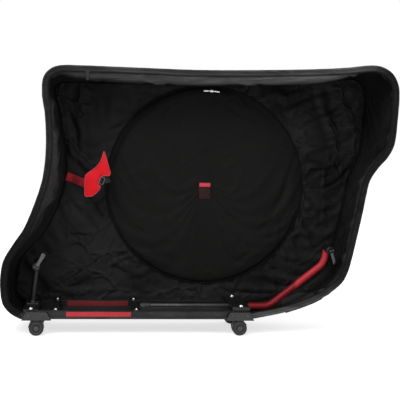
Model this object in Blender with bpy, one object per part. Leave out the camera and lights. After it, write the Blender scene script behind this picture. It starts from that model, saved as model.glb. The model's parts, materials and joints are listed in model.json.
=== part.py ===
# Soft travel bag for a bicycle, seen with its near side open: a fabric shell lofted between two
# outlines, a padded wheel pocket on the far side, and an aluminium base frame on four castors
# that carries the rear axle on a post and the fork on a sliding arm.
# Metres. +X towards the front of the bag, +Z up, the open side faces -Y.
import math

import bmesh
import bpy
import numpy as np
from mathutils import Matrix, Vector

# Shell
BAG_LENGTH = 1.315
SHELL_HEIGHT = 0.865
BASE_CLEARANCE = 0.055      # floor to the underside of the shell
BASE_WIDTH = 0.260
BAR_WIDTH = 0.370           # width at the top of the front, where the handlebar sits
WALL = 0.005                # padded fabric
EDGE_RADIUS = 0.010         # edge between gusset and side panel
FAR_INSET = 0.0625          # deepest draw-in of the far outline
MID_SAG = 0.012             # sag of the gusset between its two edges
SEAM = 0.0004               # gap between sewn pieces
FIT = 0.0003                # gap between pieces that touch
OVERRUN = 0.004             # how far a cutter passes a face

# Rim and its zip
BINDING_RADIUS = 0.004
TAPE_WIDTH = 0.0115
TAPE_THICKNESS = 0.0012
TEETH_WIDTH = 0.004
TEETH_THICKNESS = 0.003
SLIDER_LENGTH = 0.014
SLIDER_PLATE = 0.0015
SLIDER_CLEARANCE = 0.0006
SLIDER_BRIDGE = 0.0018
SLIDER_GRIP = 0.0035        # how far the slider's plates reach over the tape
SLIDER_SHARE = -0.289       # place along the top edge, of the bag's length
PULL_LENGTH = 0.026
PULL_WIDTH = 0.008
PULL_THICKNESS = 0.0014
PULL_BAR_RADIUS = 0.0009
PULL_PLAY = 0.0003
BAIL_CHEEK = 0.0014

# Wheel pocket on the far panel
POCKET_RADIUS = 0.350
POCKET_X = 0.045
POCKET_MARGIN = 0.006       # from its piping up to the far edge's bend
POCKET_EDGE = 0.004
POCKET_DEPTH = 0.012
POCKET_TAPER = 0.006
PIPING_RADIUS = 0.003
POCKET_ZIP_RADIUS = 0.3375
POCKET_ZIP_WIDTH = 0.012
POCKET_ZIP_THICKNESS = 0.0016
POCKET_ZIP_START = 80.0     # degrees, from +X towards +Z
POCKET_ZIP_END = 170.0
POCKET_SLIDER_LENGTH = 0.060     # with its two pulls
POCKET_SLIDER_WIDTH = 0.009
POCKET_SLIDER_HEIGHT = 0.005
POCKET_SLIDER_ANGLE = 87.5

# Webbing tab at the hub
TAB_X = 0.042
TAB_DROP = 0.002            # fold's centre above the pocket's
TAB_WIDTH = 0.044
TAB_LENGTH = 0.052
TAB_THICKNESS = 0.003
TAB_FOLD_WIDTH = 0.040
TAB_FOLD_HEIGHT = 0.015
TAB_FOLD_DEPTH = 0.011

# Strap and pad that hold the bicycle's seat tube
STRAP_HEIGHT = 0.521
STRAP_WIDTH = 0.030
STRAP_THICKNESS = 0.002
STRAP_FOOT = 0.026
STRAP_END_Y = 0.0305
STRAP_DROP = 0.024
PAD_THICKNESS = 0.014
PAD_WIDTH = 0.090
PAD_HEIGHT = 0.165
BUCKLE_WIDTH = 0.018
BUCKLE_HEIGHT = 0.028
BUCKLE_DROP = 0.0015        # below the top of the pad's notch
BUCKLE_DEPTH = 0.012

# Carry handle on the far panel
HANDLE_X = -0.060
HANDLE_HEIGHT = 0.620
HANDLE_SPAN = 0.150
HANDLE_DROP = 0.052
HANDLE_STRAP = 0.030
HANDLE_THICKNESS = 0.0028
HANDLE_GRIP_HEIGHT = 0.026
HANDLE_GRIP_DEPTH = 0.008
HANDLE_BAR_RADIUS = 0.0022
HANDLE_PLAY = 0.0004
ANCHOR_LENGTH = 0.050
ANCHOR_THICKNESS = 0.0025
ANCHOR_CHEEK = 0.003

# Skid under the nose
SKID_THICKNESS = 0.003
SKID_SETBACK = 0.004

# Base frame
RAIL_WIDTH = 0.023
RAIL_HEIGHT = 0.021
RAIL_CENTRE = 0.108         # from the middle of the bag
RAIL_END_SETBACK = 0.009    # from the corners of the shell's base
GROOVE_HEIGHT = 0.0170
GROOVE_DEPTH = 0.0026
INSERT_LENGTH = 0.216
INSERT_START = 0.150        # from the rear corner of the base
BOARD_THICKNESS = 0.003
BOARD_CLEARANCE = 0.002
CROSSBAR_WIDTH = 0.024
CROSSBAR_THICKNESS = 0.0035
REAR_BAR_WIDTH = 0.050
REAR_BAR_THICKNESS = 0.005
FRONT_BAR_WIDTH = 0.060
FRONT_BAR_THICKNESS = 0.015
REAR_BAR_X = 0.0334         # from the rear corner of the base
MID_BAR_X = 0.1154
CENTRE_BAR_X = 0.3844
FRONT_BAR_X = 0.0236        # from the front corner, to the rear
BIG_BOLT_RADIUS = 0.008
BIG_BOLT_HEAD = 0.0055
SMALL_BOLT_RADIUS = 0.005
SMALL_BOLT_HEAD = 0.0035
BOLT_SHANK_RADIUS = 0.0025
BOLT_DEPTH = 0.0068         # into the rail
BOLT_DOME_SHARE = 0.62      # flat top of the head as a share of its radius

# Sleeve and fork arm
SLEEVE_RADIUS = 0.0142
SLEEVE_BORE = 0.0128
SLEEVE_HEIGHT = 0.0795
SLEEVE_OVERHANG = 0.0184    # past the front corner of the base
SLEEVE_REAR_GAP = 0.006     # from the centre crossbar
CRADLE_WIDTH = 0.044
CRADLE_DROP = 0.002         # its top below the sleeve's axis
CAP_LENGTH = 0.030
CAP_INSET = 0.004
CAP_WALL = 0.003
CAP_FOOT = 0.0225
ARM_RADIUS = 0.0125
ARM_INSERTION = 0.200
ARM_BEND_RADIUS = 0.060
ARM_STRAIGHT = 0.072        # past the sleeve's mouth to the first bend
FORK_CLEARANCE = 0.0705     # fork hub from the front edge of the rim beside it
FORK_HEIGHT = 0.284
ARM_KNEE_BACK = 0.012       # knee under the hub, to the rear and down
ARM_KNEE_DROP = 0.052
FORK_HUB_WIDTH = 0.100
HUB_RADIUS = 0.0135
HUB_BORE = 0.0032

# Rear support
REAR_HUB_X = 0.0474         # from the rear corner of the base
REAR_HUB_HEIGHT = 0.222
REAR_HUB_WIDTH = 0.130
POST_RADIUS = 0.0100
FLANGE_WIDTH = 0.044
FLANGE_THICKNESS = 0.004

# Quick releases
SKEWER_RADIUS = 0.0025
SKEWER_PIN_RADIUS = 0.0022
LEVER_LENGTH = 0.050
LEVER_EYE = 0.0080
LEVER_TIP = 0.0045
LEVER_WIDTH = 0.014
LEVER_SLOT = 0.0066
LEVER_PLAY = 0.0002
DROPOUT_GAP = 0.0075        # room for the bicycle's dropout at either end of a hub
HEAD_RADIUS = 0.0085
HEAD_LENGTH = 0.011
FORK_LEVER_WAY = (0.30, 0.0, -0.95)     # where each closed lever points
REAR_LEVER_WAY = (0.50, 0.0, 0.87)

# Castors
CASTOR_REAR_X = 0.0524      # wheel axle from the rear corner of the base
CASTOR_FRONT_X = 0.0286     # wheel axle from the front corner, to the rear
CASTOR_TRAIL = 0.013
WHEEL_RADIUS = 0.0245
WHEEL_WIDTH = 0.0170
WHEEL_CROWN = 0.0012
WEB_WIDTH = 0.010
WHEEL_PLAY = 0.0006
AXLE_RADIUS = 0.0030
HUB_CAP_RADIUS = 0.0060
HUB_CAP_DEPTH = 0.0008
HOOD_WALL = 0.0016
HOOD_FRONT_ANGLE = 28.0     # degrees, from +X towards +Z
HOOD_REAR_ANGLE = 172.0
HOOD_LEAN = 40.0            # how far round the boss the hood's straight sides meet it
COLLAR_RADIUS = 0.0078
STEM_RADIUS = 0.0050
STEM_TOP = 0.0720
SHOE_LENGTH = 0.096
SHOE_TOP_LENGTH = 0.068
SHOE_PLATE = 0.0027
SHOE_WALL = 0.0030
SHOE_WIDTH = 0.052
SHOE_TOP = 0.080

# The near rim as shares of the bag's length and the shell's height, from the rear corner of
# the base up the back, along the top, down the front and under the nose. The third share is
# the draw-in of the far outline, and the fourth the sag half way across.
RIM_SHARES = (
    (-0.4490, 0.000, 0.00, 0.0), (-0.4760, 0.025, 0.10, 0.2), (-0.4935, 0.062, 0.25, 0.5),
    (-0.5000, 0.125, 0.40, 0.6), (-0.4985, 0.180, 0.50, 0.5), (-0.4910, 0.230, 0.60, 0.4),
    (-0.4680, 0.290, 0.75, 0.2), (-0.4420, 0.351, 0.90, 0.0), (-0.4175, 0.443, 1.00, -0.3),
    (-0.3990, 0.535, 1.00, -0.5), (-0.3915, 0.625, 0.85, -0.5), (-0.3910, 0.715, 0.62, -0.5),
    (-0.3955, 0.808, 0.52, -0.4), (-0.4015, 0.865, 0.42, -0.2), (-0.4000, 0.917, 0.38, 0.0),
    (-0.3860, 0.951, 0.45, 0.0), (-0.3580, 0.970, 0.50, -0.2), (-0.3000, 0.9722, 0.50, -0.5),
    (-0.1640, 0.9700, 0.45, -0.7), (-0.0200, 0.9678, 0.42, -0.8), (0.1190, 0.9725, 0.38, -0.8),
    (0.2780, 0.980, 0.38, -0.6), (0.3600, 0.989, 0.36, -0.3), (0.4190, 1.000, 0.30, 0.0),
    (0.4520, 0.996, 0.20, 0.2), (0.4800, 0.972, 0.12, 0.3), (0.4960, 0.930, 0.10, 0.3),
    (0.5000, 0.880, 0.10, 0.3), (0.4975, 0.790, 0.10, 0.2), (0.4920, 0.703, 0.10, 0.0),
    (0.4770, 0.652, -0.10, 0.0), (0.4515, 0.606, -0.35, 0.0), (0.4330, 0.558, -0.45, 0.0),
    (0.4265, 0.500, -0.38, 0.0), (0.4205, 0.414, -0.20, 0.0), (0.4110, 0.318, -0.08, 0.0),
    (0.3980, 0.225, 0.00, 0.2), (0.3880, 0.178, 0.05, 0.3), (0.3740, 0.143, 0.10, 0.5),
    (0.3430, 0.104, 0.10, 0.7), (0.3000, 0.067, 0.05, 0.9), (0.2300, 0.030, 0.00, 1.0),
    (0.1580, 0.007, 0.00, 0.4), (0.1320, 0.000, 0.00, 0.0),
)
SAMPLES_PER_POINT = 2
BASE_SAMPLES = 8
# Samples of the rim at which one gusset ends and the next begins
WAIST_SHARE = RIM_SHARES[35][0]         # the rim's front edge beside the fork hub
SEAMS = {"rear": 29, "top": 50}
SKID_SAMPLES = (79, 82)
ZIP_STRAIGHT_SHARES = (-0.300, -0.020)
ACROSS_SHARES = (0.0, 0.25, 0.5, 0.75, 1.0)
EDGE_ANGLES = (30.0, 60.0, 90.0)
PANEL_RING_SHARES = (1.0, 0.90, 0.77, 0.60, 0.3)
PANEL_CENTRE_SHARES = (0.02, 0.47)

# Bulge of the side towards the handlebar, outside the flat round of the wheel pocket
BULGE_MARGIN = 0.015
BULGE_SPAN = 0.200
BULGE_START_X = 0.000
BULGE_RUN_X = 0.300
BULGE_START_Z = 0.300
BULGE_RUN_Z = 0.280

# Pad outline as shares of its width and height, from its lower rear corner round
PAD_SHARES = (
    (0.00, 0.00), (0.00, 0.465), (0.38, 0.606), (0.584, 0.736), (0.68, 0.866), (0.727, 1.00),
    (0.85, 0.79), (0.93, 0.64), (1.00, 0.51), (0.95, 0.455), (0.62, 0.455), (0.50, 0.255),
    (0.62, 0.235), (0.584, 0.157), (0.416, 0.065), (0.285, 0.012),
)
NOTCH_CORNER = 10           # of the outline, at the top of the notch for the buckle
PAD_FOOT = 0.454
PAD_REAR_X = -0.386
PAD_LAP = 0.010             # of the strap's end behind the pad

POCKET_SIDES = 48
TUBE_SIDES = 16
WHEEL_SIDES = 22
SMALL_SIDES = 12
CORD_SIDES = 6
PARALLEL = 0.01             # below this sine two directions count as one

# Derived places
BASE_Z = BASE_CLEARANCE
FLOOR_Z = BASE_Z + WALL
RAIL_Z = FLOOR_Z + FIT
RAIL_TOP = RAIL_Z + RAIL_HEIGHT
BAR_Z = RAIL_TOP + FIT
BOARD_TOP = FLOOR_Z + FIT + BOARD_THICKNESS
BASE_REAR = RIM_SHARES[0][0] * BAG_LENGTH
BASE_FRONT = RIM_SHARES[-1][0] * BAG_LENGTH
HALF_BASE = BASE_WIDTH / 2
HALF_BAR = BAR_WIDTH / 2
SETBACK = 2 * BINDING_RADIUS + FIT      # the gusset's near edge lies behind the binding
REAR_BAR = BASE_REAR + REAR_BAR_X
MID_BAR = BASE_REAR + MID_BAR_X
CENTRE_BAR = BASE_REAR + CENTRE_BAR_X
FRONT_BAR = BASE_FRONT - FRONT_BAR_X
SLEEVE_REAR = CENTRE_BAR + CROSSBAR_WIDTH / 2 + SLEEVE_REAR_GAP
SLEEVE_FRONT = BASE_FRONT + SLEEVE_OVERHANG
FORK_HUB = (WAIST_SHARE * BAG_LENGTH - FORK_CLEARANCE, 0.0, FORK_HEIGHT)
REAR_HUB = (BASE_REAR + REAR_HUB_X, 0.0, REAR_HUB_HEIGHT)


def clear_scene():
    for scene_object in list(bpy.data.objects):
        bpy.data.objects.remove(scene_object, do_unlink=True)


def make_material(name, colour, roughness, metallic=0.0):
    material = bpy.data.materials.new(name)
    material.use_nodes = True
    shader = material.node_tree.nodes["Principled BSDF"]
    shader.inputs["Base Color"].default_value = (*colour, 1.0)
    shader.inputs["Roughness"].default_value = roughness
    shader.inputs["Metallic"].default_value = metallic
    return material


def world_place(item):
    place = Vector((0, 0, 0))
    while item is not None:
        place = place + item.location
        item = item.parent
    return place


def add_empty(name, place, parent=None):
    empty = bpy.data.objects.new(name, None)
    empty.location = Vector(place) - world_place(parent)
    empty.parent = parent
    bpy.context.collection.objects.link(empty)
    return empty


def add_object(name, shape, material, origin=(0, 0, 0), parent=None, smooth=35.0):
    bmesh.ops.translate(shape, vec=-Vector(origin), verts=shape.verts)
    bmesh.ops.recalc_face_normals(shape, faces=shape.faces)
    mesh = bpy.data.meshes.new(name)
    shape.to_mesh(mesh)
    shape.free()
    if material is not None:
        mesh.materials.append(material)
    mesh.shade_smooth()
    mesh.set_sharp_from_angle(angle=math.radians(smooth))
    item = bpy.data.objects.new(name, mesh)
    item.location = Vector(origin) - world_place(parent)
    item.parent = parent
    bpy.context.collection.objects.link(item)
    return item


def add_boolean(item, shape, operation):
    tool = add_object(item.name + "_" + operation.lower(), shape, None)
    tool.hide_render = True
    tool.display_type = "WIRE"
    modifier = item.modifiers.new(operation.title(), "BOOLEAN")
    modifier.operation = operation
    modifier.object = tool
    return item


# Basic shapes, each a bmesh in world places
def box(low, high, bevel=0.0):
    shape = bmesh.new()
    bmesh.ops.create_cube(shape, size=1.0)
    low, high = Vector(low), Vector(high)
    size = high - low
    bmesh.ops.scale(shape, vec=size, verts=shape.verts)
    bmesh.ops.translate(shape, vec=(low + high) / 2, verts=shape.verts)
    if bevel:
        bmesh.ops.bevel(shape, geom=shape.edges[:], offset=bevel, segments=1, affect="EDGES")
    return shape


def merge(shapes):
    whole = shapes[0]
    for other in shapes[1:]:
        mesh = bpy.data.meshes.new("joined")
        other.to_mesh(mesh)
        other.free()
        whole.from_mesh(mesh)
        bpy.data.meshes.remove(mesh)
    return whole


def basis(axis, hint=(0, 0, 1)):
    along = Vector(axis).normalized()
    side = Vector(hint).cross(along)
    if side.length < PARALLEL:
        side = Vector((1, 0, 0)).cross(along)
    side.normalize()
    return along, side, along.cross(side)


def turned(profile, origin, axis, sides, hint=(0, 0, 1)):
    """Spins a closed profile of (radius, height) points about an axis through origin."""
    along, side, _ = basis(axis, hint)
    shape = bmesh.new()
    points = [Vector(origin) + side * radius + along * height for radius, height in profile]
    verts = [shape.verts.new(point) for point in points]
    edges = [shape.edges.new(pair) for pair in zip(verts, verts[1:])]
    if profile[0][0] > 0 or profile[-1][0] > 0:
        edges.append(shape.edges.new((verts[-1], verts[0])))
    bmesh.ops.spin(shape, geom=verts + edges, cent=Vector(origin), axis=along,
                   angle=math.tau, steps=sides, use_merge=True, use_duplicate=False)
    bmesh.ops.remove_doubles(shape, verts=shape.verts, dist=FIT / 10)
    bmesh.ops.recalc_face_normals(shape, faces=shape.faces)
    return shape


def cylinder(start, end, radius, sides=TUBE_SIDES):
    start, end = Vector(start), Vector(end)
    length = (end - start).length
    return turned([(0, 0), (radius, 0), (radius, length), (0, length)], start, end - start, sides)


def prism(outline, axis_in, axis_across, origin, low, high):
    """Extrudes an outline given along two axes, from low to high along their normal."""
    first, second = Vector(axis_in), Vector(axis_across)
    normal = first.cross(second)
    shape = bmesh.new()
    verts = [shape.verts.new(Vector(origin) + first * a + second * b + normal * low)
             for a, b in outline]
    face = shape.faces.new(verts)
    extruded = bmesh.ops.extrude_face_region(shape, geom=[face])
    moved = [item for item in extruded["geom"] if isinstance(item, bmesh.types.BMVert)]
    bmesh.ops.translate(shape, vec=normal * (high - low), verts=moved)
    bmesh.ops.recalc_face_normals(shape, faces=shape.faces)
    return shape


def arc(centre, radius, start, end, steps):
    angles = np.radians(np.linspace(start, end, steps + 1))
    return [(centre[0] + radius * math.cos(a), centre[1] + radius * math.sin(a)) for a in angles]


def skin(rings):
    """Joins equal rings of points into a closed solid with both ends capped."""
    shape = bmesh.new()
    rows = [[shape.verts.new(point) for point in ring] for ring in rings]
    count = len(rows[0])
    for row, following in zip(rows, rows[1:]):
        for k in range(count):
            n = (k + 1) % count
            shape.faces.new((row[k], row[n], following[n], following[k]))
    for row in (rows[0], rows[-1]):
        for k in range(count // 2 - 1):
            a, b, c, d = row[k], row[k + 1], row[count - 2 - k], row[count - 1 - k]
            shape.faces.new((a, b, c))
            shape.faces.new((a, c, d))
    return shape


def tube(points, radius, sides):
    """A round bar along a path in the plane of X and Z."""
    path = np.array(points, float)
    step = np.gradient(path, axis=0)
    step /= np.linalg.norm(step, axis=1)[:, None]
    across = np.array([0.0, 1.0, 0.0])
    rings = []
    for point, along in zip(path, step):
        lift = np.cross(along, across)
        turn = np.linspace(0, math.tau, sides, endpoint=False)
        rings.append([Vector(point + radius * (math.cos(a) * across + math.sin(a) * lift))
                      for a in turn])
    return skin(rings)


# The shell's outline and its surface
def smooth_step(value):
    value = np.clip(value, 0.0, 1.0)
    return value * value * (3 - 2 * value)


def curve_through(points, samples):
    """Catmull-Rom curve through the points, with that many samples from each to the next."""
    padded = np.vstack([2 * points[0] - points[1], points, 2 * points[-1] - points[-2]])
    share = np.linspace(0, 1, samples, endpoint=False)[:, None]
    parts = []
    for a, b, c, d in zip(padded, padded[1:], padded[2:], padded[3:]):
        linear = (c - a) / 2
        square = a - 2.5 * b + 2 * c - d / 2
        cube = (d - a) / 2 + 1.5 * (b - c)
        parts.append(b + share * (linear + share * (square + share * cube)))
    parts.append(points[-1:])
    return np.vstack(parts)


def shell_outline():
    """The closed outline's samples: X, Z, draw-in and sag, the base's straight run at the end."""
    shares = np.array(RIM_SHARES)
    scale = np.array([BAG_LENGTH, SHELL_HEIGHT, FAR_INSET, MID_SAG])
    points = shares * scale + np.array([0, BASE_Z, 0, 0])
    rim = curve_through(points, SAMPLES_PER_POINT)
    blend = np.linspace(0, 1, BASE_SAMPLES + 1)[1:-1, None]
    base = points[-1] * (1 - blend) + points[0] * blend
    return np.vstack([rim, base])


OUTLINE = shell_outline()
RIM_COUNT = (len(RIM_SHARES) - 1) * SAMPLES_PER_POINT + 1
OUTLINE_COUNT = len(OUTLINE)


def mitres(loop):
    """Outward mitre vectors of a closed loop that runs clockwise seen from -Y."""
    run = np.roll(loop, -1, axis=0) - loop
    run /= np.linalg.norm(run, axis=1)[:, None]
    after = np.stack([-run[:, 1], run[:, 0]], axis=1)
    before = np.roll(after, 1, axis=0)
    return (before + after) / (1 + np.sum(before * after, axis=1))[:, None]


RIM_POINTS = OUTLINE[:, :2]
RIM_MITRES = mitres(RIM_POINTS)
FAR_POINTS = RIM_POINTS - RIM_MITRES * OUTLINE[:, 2:3]
FAR_MITRES = mitres(FAR_POINTS)
FAR_EDGE = FAR_POINTS - FAR_MITRES * EDGE_RADIUS
PANEL_EDGE = FAR_POINTS - FAR_MITRES * (EDGE_RADIUS + SEAM)
TOP_SAMPLE = int(np.argmin(np.abs(RIM_POINTS[:RIM_COUNT, 0] - POCKET_X)
                           - (RIM_POINTS[:RIM_COUNT, 1] > RIM_POINTS[:RIM_COUNT, 1].mean())))
POCKET_Z = FAR_EDGE[TOP_SAMPLE, 1] - POCKET_MARGIN - 2 * PIPING_RADIUS - POCKET_RADIUS
POCKET_CENTRE = (POCKET_X, POCKET_Z)


def half_width(points):
    """Half the bag's width at points of X and Z: flat at the wheel, wider at the handlebar."""
    reach = np.linalg.norm(points - np.array(POCKET_CENTRE), axis=-1)
    round_share = smooth_step((reach - POCKET_RADIUS - BULGE_MARGIN) / BULGE_SPAN)
    front_share = smooth_step((points[..., 0] - BULGE_START_X) / BULGE_RUN_X)
    high_share = smooth_step((points[..., 1] - BULGE_START_Z) / BULGE_RUN_Z)
    return HALF_BASE + (HALF_BAR - HALF_BASE) * round_share * front_share * high_share


NEAR_Y = -half_width(RIM_POINTS)
FAR_Y = half_width(FAR_EDGE)


def in_space(flat, depth):
    return np.stack([flat[..., 0], np.broadcast_to(depth, flat.shape[:-1]), flat[..., 1]], axis=-1)


def gusset_sections(setback):
    """Outer and inner points of the shell at each sample, from the near edge to the panel."""
    outer, inner = [], []
    for share in ACROSS_SHARES:
        draw = smooth_step(share)
        flat = RIM_POINTS * (1 - draw) + FAR_POINTS * draw
        outward = RIM_MITRES * (1 - draw) + FAR_MITRES * draw
        flat = flat + outward * OUTLINE[:, 3:4] * math.sin(math.pi * share)
        near, far = NEAR_Y + setback, FAR_Y - EDGE_RADIUS
        depth = near * (1 - share) + far * share
        outer.append(in_space(flat, depth))
        inner.append(in_space(flat - outward * WALL, depth))
    for angle in np.radians(EDGE_ANGLES):
        for rows, radius in ((outer, EDGE_RADIUS), (inner, EDGE_RADIUS - WALL)):
            drop = EDGE_RADIUS - radius * math.cos(angle)
            depth = FAR_Y - EDGE_RADIUS + radius * math.sin(angle)
            rows.append(in_space(FAR_POINTS - FAR_MITRES * drop, depth))
    return np.stack(outer, axis=1), np.stack(inner, axis=1)


def run_of(rows, first, last, trim):
    """Rows from one sample to another round the loop, each end trimmed by a short length."""
    count = (last - first) % OUTLINE_COUNT
    index = (first + np.arange(count + 1)) % OUTLINE_COUNT
    cut = rows[index].copy()
    ends = RIM_POINTS[index]
    front = trim / np.linalg.norm(ends[1] - ends[0])
    back = trim / np.linalg.norm(ends[-1] - ends[-2])
    cut[0] = rows[index[0]] * (1 - front) + rows[index[1]] * front
    cut[-1] = rows[index[-1]] * (1 - back) + rows[index[-2]] * back
    return cut


def shell_piece(first, last, setback):
    outer, inner = gusset_sections(setback)
    outer = run_of(outer, first, last, SEAM / 2)
    inner = run_of(inner, first, last, SEAM / 2)
    return skin([[Vector(p) for p in np.vstack([a, b[::-1]])] for a, b in zip(outer, inner)])


def rim_band(start, end, low, high, thickness):
    """A flat band along the rim, between two distances in from its edge."""
    centre = NEAR_Y + BINDING_RADIUS
    corners = ((start, -thickness / 2), (end, -thickness / 2),
               (end, thickness / 2), (start, thickness / 2))
    rows = np.stack([in_space(RIM_POINTS - RIM_MITRES * inset, centre + lift)
                     for inset, lift in corners], axis=1)
    rows = run_of(rows, low, high, SEAM / 2)
    return skin([[Vector(p) for p in row] for row in rows])


def straight_place(x):
    """The rim's height and the direction of its top straight at a place along it."""
    low, high = (share * BAG_LENGTH for share in ZIP_STRAIGHT_SHARES)
    shares = [row for row in RIM_SHARES if row[0] in ZIP_STRAIGHT_SHARES]
    z_low, z_high = (BASE_Z + row[1] * SHELL_HEIGHT for row in shares)
    slope = (z_high - z_low) / (high - low)
    return z_low + slope * (x - low), Vector((1, 0, slope)).normalized()


# Materials
FABRIC = make_material("shell_fabric", (0.030, 0.030, 0.032), 0.85)
LINING = make_material("pocket_fabric", (0.036, 0.036, 0.038), 0.8)
WEBBING_RED = make_material("red_webbing", (0.55, 0.02, 0.03), 0.7)
WEBBING_BLACK = make_material("black_webbing", (0.02, 0.02, 0.02), 0.8)
PAD_RED = make_material("red_pad", (0.72, 0.02, 0.03), 0.6)
PLASTIC_BLACK = make_material("black_plastic", (0.03, 0.03, 0.03), 0.5)
PLASTIC_GREY = make_material("grey_plastic", (0.12, 0.12, 0.125), 0.5)
RAIL_BLACK = make_material("black_anodised", (0.025, 0.025, 0.027), 0.35, 0.8)
RAIL_RED = make_material("red_anodised", (0.62, 0.03, 0.04), 0.4, 0.5)
ARM_RED = make_material("red_paint", (0.55, 0.015, 0.025), 0.3)
STEEL = make_material("bright_steel", (0.75, 0.75, 0.76), 0.2, 1.0)
WHEEL_GREY = make_material("wheel_rubber", (0.10, 0.10, 0.105), 0.6)


def build_shell():
    pieces = (
        ("gusset_rear", 0, SEAMS["rear"]),
        ("gusset_top", SEAMS["rear"], SEAMS["top"]),
        ("gusset_front", SEAMS["top"], RIM_COUNT - 1),
    )
    for name, first, last in pieces:
        add_object(name, shell_piece(first, last, SETBACK), FABRIC)
    base = add_object("base_fabric", shell_piece(RIM_COUNT - 1, 0, 0.0), FABRIC)
    holes = [cylinder((x, y, BASE_Z - OVERRUN), (x, y, FLOOR_Z + OVERRUN), STEM_RADIUS + FIT,
                      SMALL_SIDES)
             for x, y in castor_pivots()]
    add_boolean(base, merge(holes), "DIFFERENCE")
    build_side_panel()


def build_side_panel():
    centre = np.array(PANEL_CENTRE_SHARES) * (BAG_LENGTH, SHELL_HEIGHT) + (0, BASE_Z)
    shape = bmesh.new()
    layers = []
    for inward in (0.0, WALL):
        rings = []
        for share in PANEL_RING_SHARES:
            flat = centre + (PANEL_EDGE - centre) * share
            points = in_space(flat, half_width(flat) - inward)
            rings.append([shape.verts.new(p) for p in points])
        hub = shape.verts.new(in_space(centre, half_width(centre) - inward))
        for ring, following in zip(rings, rings[1:]):
            for k in range(OUTLINE_COUNT):
                n = (k + 1) % OUTLINE_COUNT
                shape.faces.new((ring[k], ring[n], following[n], following[k]))
        for k in range(OUTLINE_COUNT):
            shape.faces.new((rings[-1][k], rings[-1][(k + 1) % OUTLINE_COUNT], hub))
        layers.append(rings[0])
    for k in range(OUTLINE_COUNT):
        n = (k + 1) % OUTLINE_COUNT
        shape.faces.new((layers[0][k], layers[0][n], layers[1][n], layers[1][k]))
    add_object("side_panel", shape, FABRIC)


def build_rim():
    """Rolled binding on the near edge, with the zip's tape and teeth inside it."""
    last = RIM_COUNT - 1
    centre = in_space(RIM_POINTS - RIM_MITRES * BINDING_RADIUS, NEAR_Y + BINDING_RADIUS)
    outward = in_space(RIM_MITRES, 0.0)
    across = np.array([0.0, 1.0, 0.0])
    turn = np.linspace(0, math.tau, CORD_SIDES, endpoint=False)
    rows = np.stack([centre + BINDING_RADIUS * (math.cos(a) * outward + math.sin(a) * across)
                     for a in turn], axis=1)
    rows = run_of(rows, 0, last, SEAM)
    add_object("rim_binding", skin([[Vector(p) for p in row] for row in rows]), WEBBING_BLACK)
    tape_start = 2 * BINDING_RADIUS + FIT
    tape_end = tape_start + TAPE_WIDTH
    teeth_start = tape_end + FIT
    tape = rim_band(tape_start, tape_end, 0, last, TAPE_THICKNESS)
    add_object("zip_tape", tape, WEBBING_BLACK)
    teeth = rim_band(teeth_start, teeth_start + TEETH_WIDTH, 0, last, TEETH_THICKNESS)
    add_object("zip_teeth", teeth, PLASTIC_BLACK)
    build_zip_slider(teeth_start)


def build_zip_slider(teeth_start):
    """A slider round the teeth on the straight of the top edge, and its hanging pull."""
    slider_x = SLIDER_SHARE * BAG_LENGTH
    height, along = straight_place(slider_x)
    down = Vector((0, 1, 0)).cross(along)
    out = Vector((0, -1, 0))
    edge = Vector((slider_x, -HALF_BASE + BINDING_RADIUS, height))
    empty = add_empty("zip_slider_axis", edge)
    slot = TEETH_THICKNESS / 2 + SLIDER_CLEARANCE
    half = slot + SLIDER_PLATE
    top = teeth_start - SLIDER_GRIP
    inner = teeth_start + TEETH_WIDTH + SLIDER_CLEARANCE
    bottom = inner + SLIDER_BRIDGE
    outline = [(top, -half), (bottom, -half), (bottom, half), (top, half),
               (top, slot), (inner, slot), (inner, -slot), (top, -slot)]
    body = prism(outline, down, out, edge - along * (SLIDER_LENGTH / 2),
                 0.0, SLIDER_LENGTH * down.cross(out).dot(along))
    eye = PULL_BAR_RADIUS + PULL_PLAY
    rise = half + eye + PULL_THICKNESS + PULL_PLAY
    bar = edge + down * ((top + bottom) / 2) + out * rise
    cheek = PULL_WIDTH / 2 + PULL_PLAY
    slider = add_object("zip_slider", body, STEEL, origin=edge, parent=empty)
    cheek_height = PULL_BAR_RADIUS * 2
    for side in (-1, 1):
        start = bar + along * (side * cheek)
        foot = out * (half - SLIDER_PLATE / 2 - rise)
        outline = [(-cheek_height, foot.length), (-cheek_height, -cheek_height),
                   (cheek_height, -cheek_height), (cheek_height, foot.length)]
        low, high = sorted((0.0, side * BAIL_CHEEK * down.cross(-out).dot(along)))
        add_boolean(slider, prism(outline, down, -out, start, low, high), "UNION")
    pin = cylinder(bar - along * (cheek + BAIL_CHEEK / 2), bar + along * (cheek + BAIL_CHEEK / 2),
                   PULL_BAR_RADIUS, SMALL_SIDES)
    add_boolean(slider, pin, "UNION")
    pull_axis = add_empty("zip_pull_axis", bar, empty)
    outline = hook_outline(eye, PULL_THICKNESS, PULL_LENGTH)
    pull = prism(outline, out, -down, bar, -PULL_WIDTH / 2, PULL_WIDTH / 2)
    add_object("zip_pull", pull, STEEL, origin=bar, parent=pull_axis)


def hook_outline(bore, thickness, length):
    """A strip that hangs from an eye folded round a bar: its first axis is across the strip."""
    outer = bore + thickness
    half = thickness / 2
    lean = math.degrees(math.asin(half / outer))
    slit = math.degrees(FIT / outer)
    wrap = arc((0, 0), outer, -90 + lean, 270 - lean - slit, SMALL_SIDES)
    back = arc((0, 0), bore, 270 - lean - slit, -90 - lean + slit / 2, SMALL_SIDES)
    tail = [(-half, -length), (half, -length)]
    root = [(-half, -math.sqrt(outer * outer - half * half))]
    return tail + wrap + back + root


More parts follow.
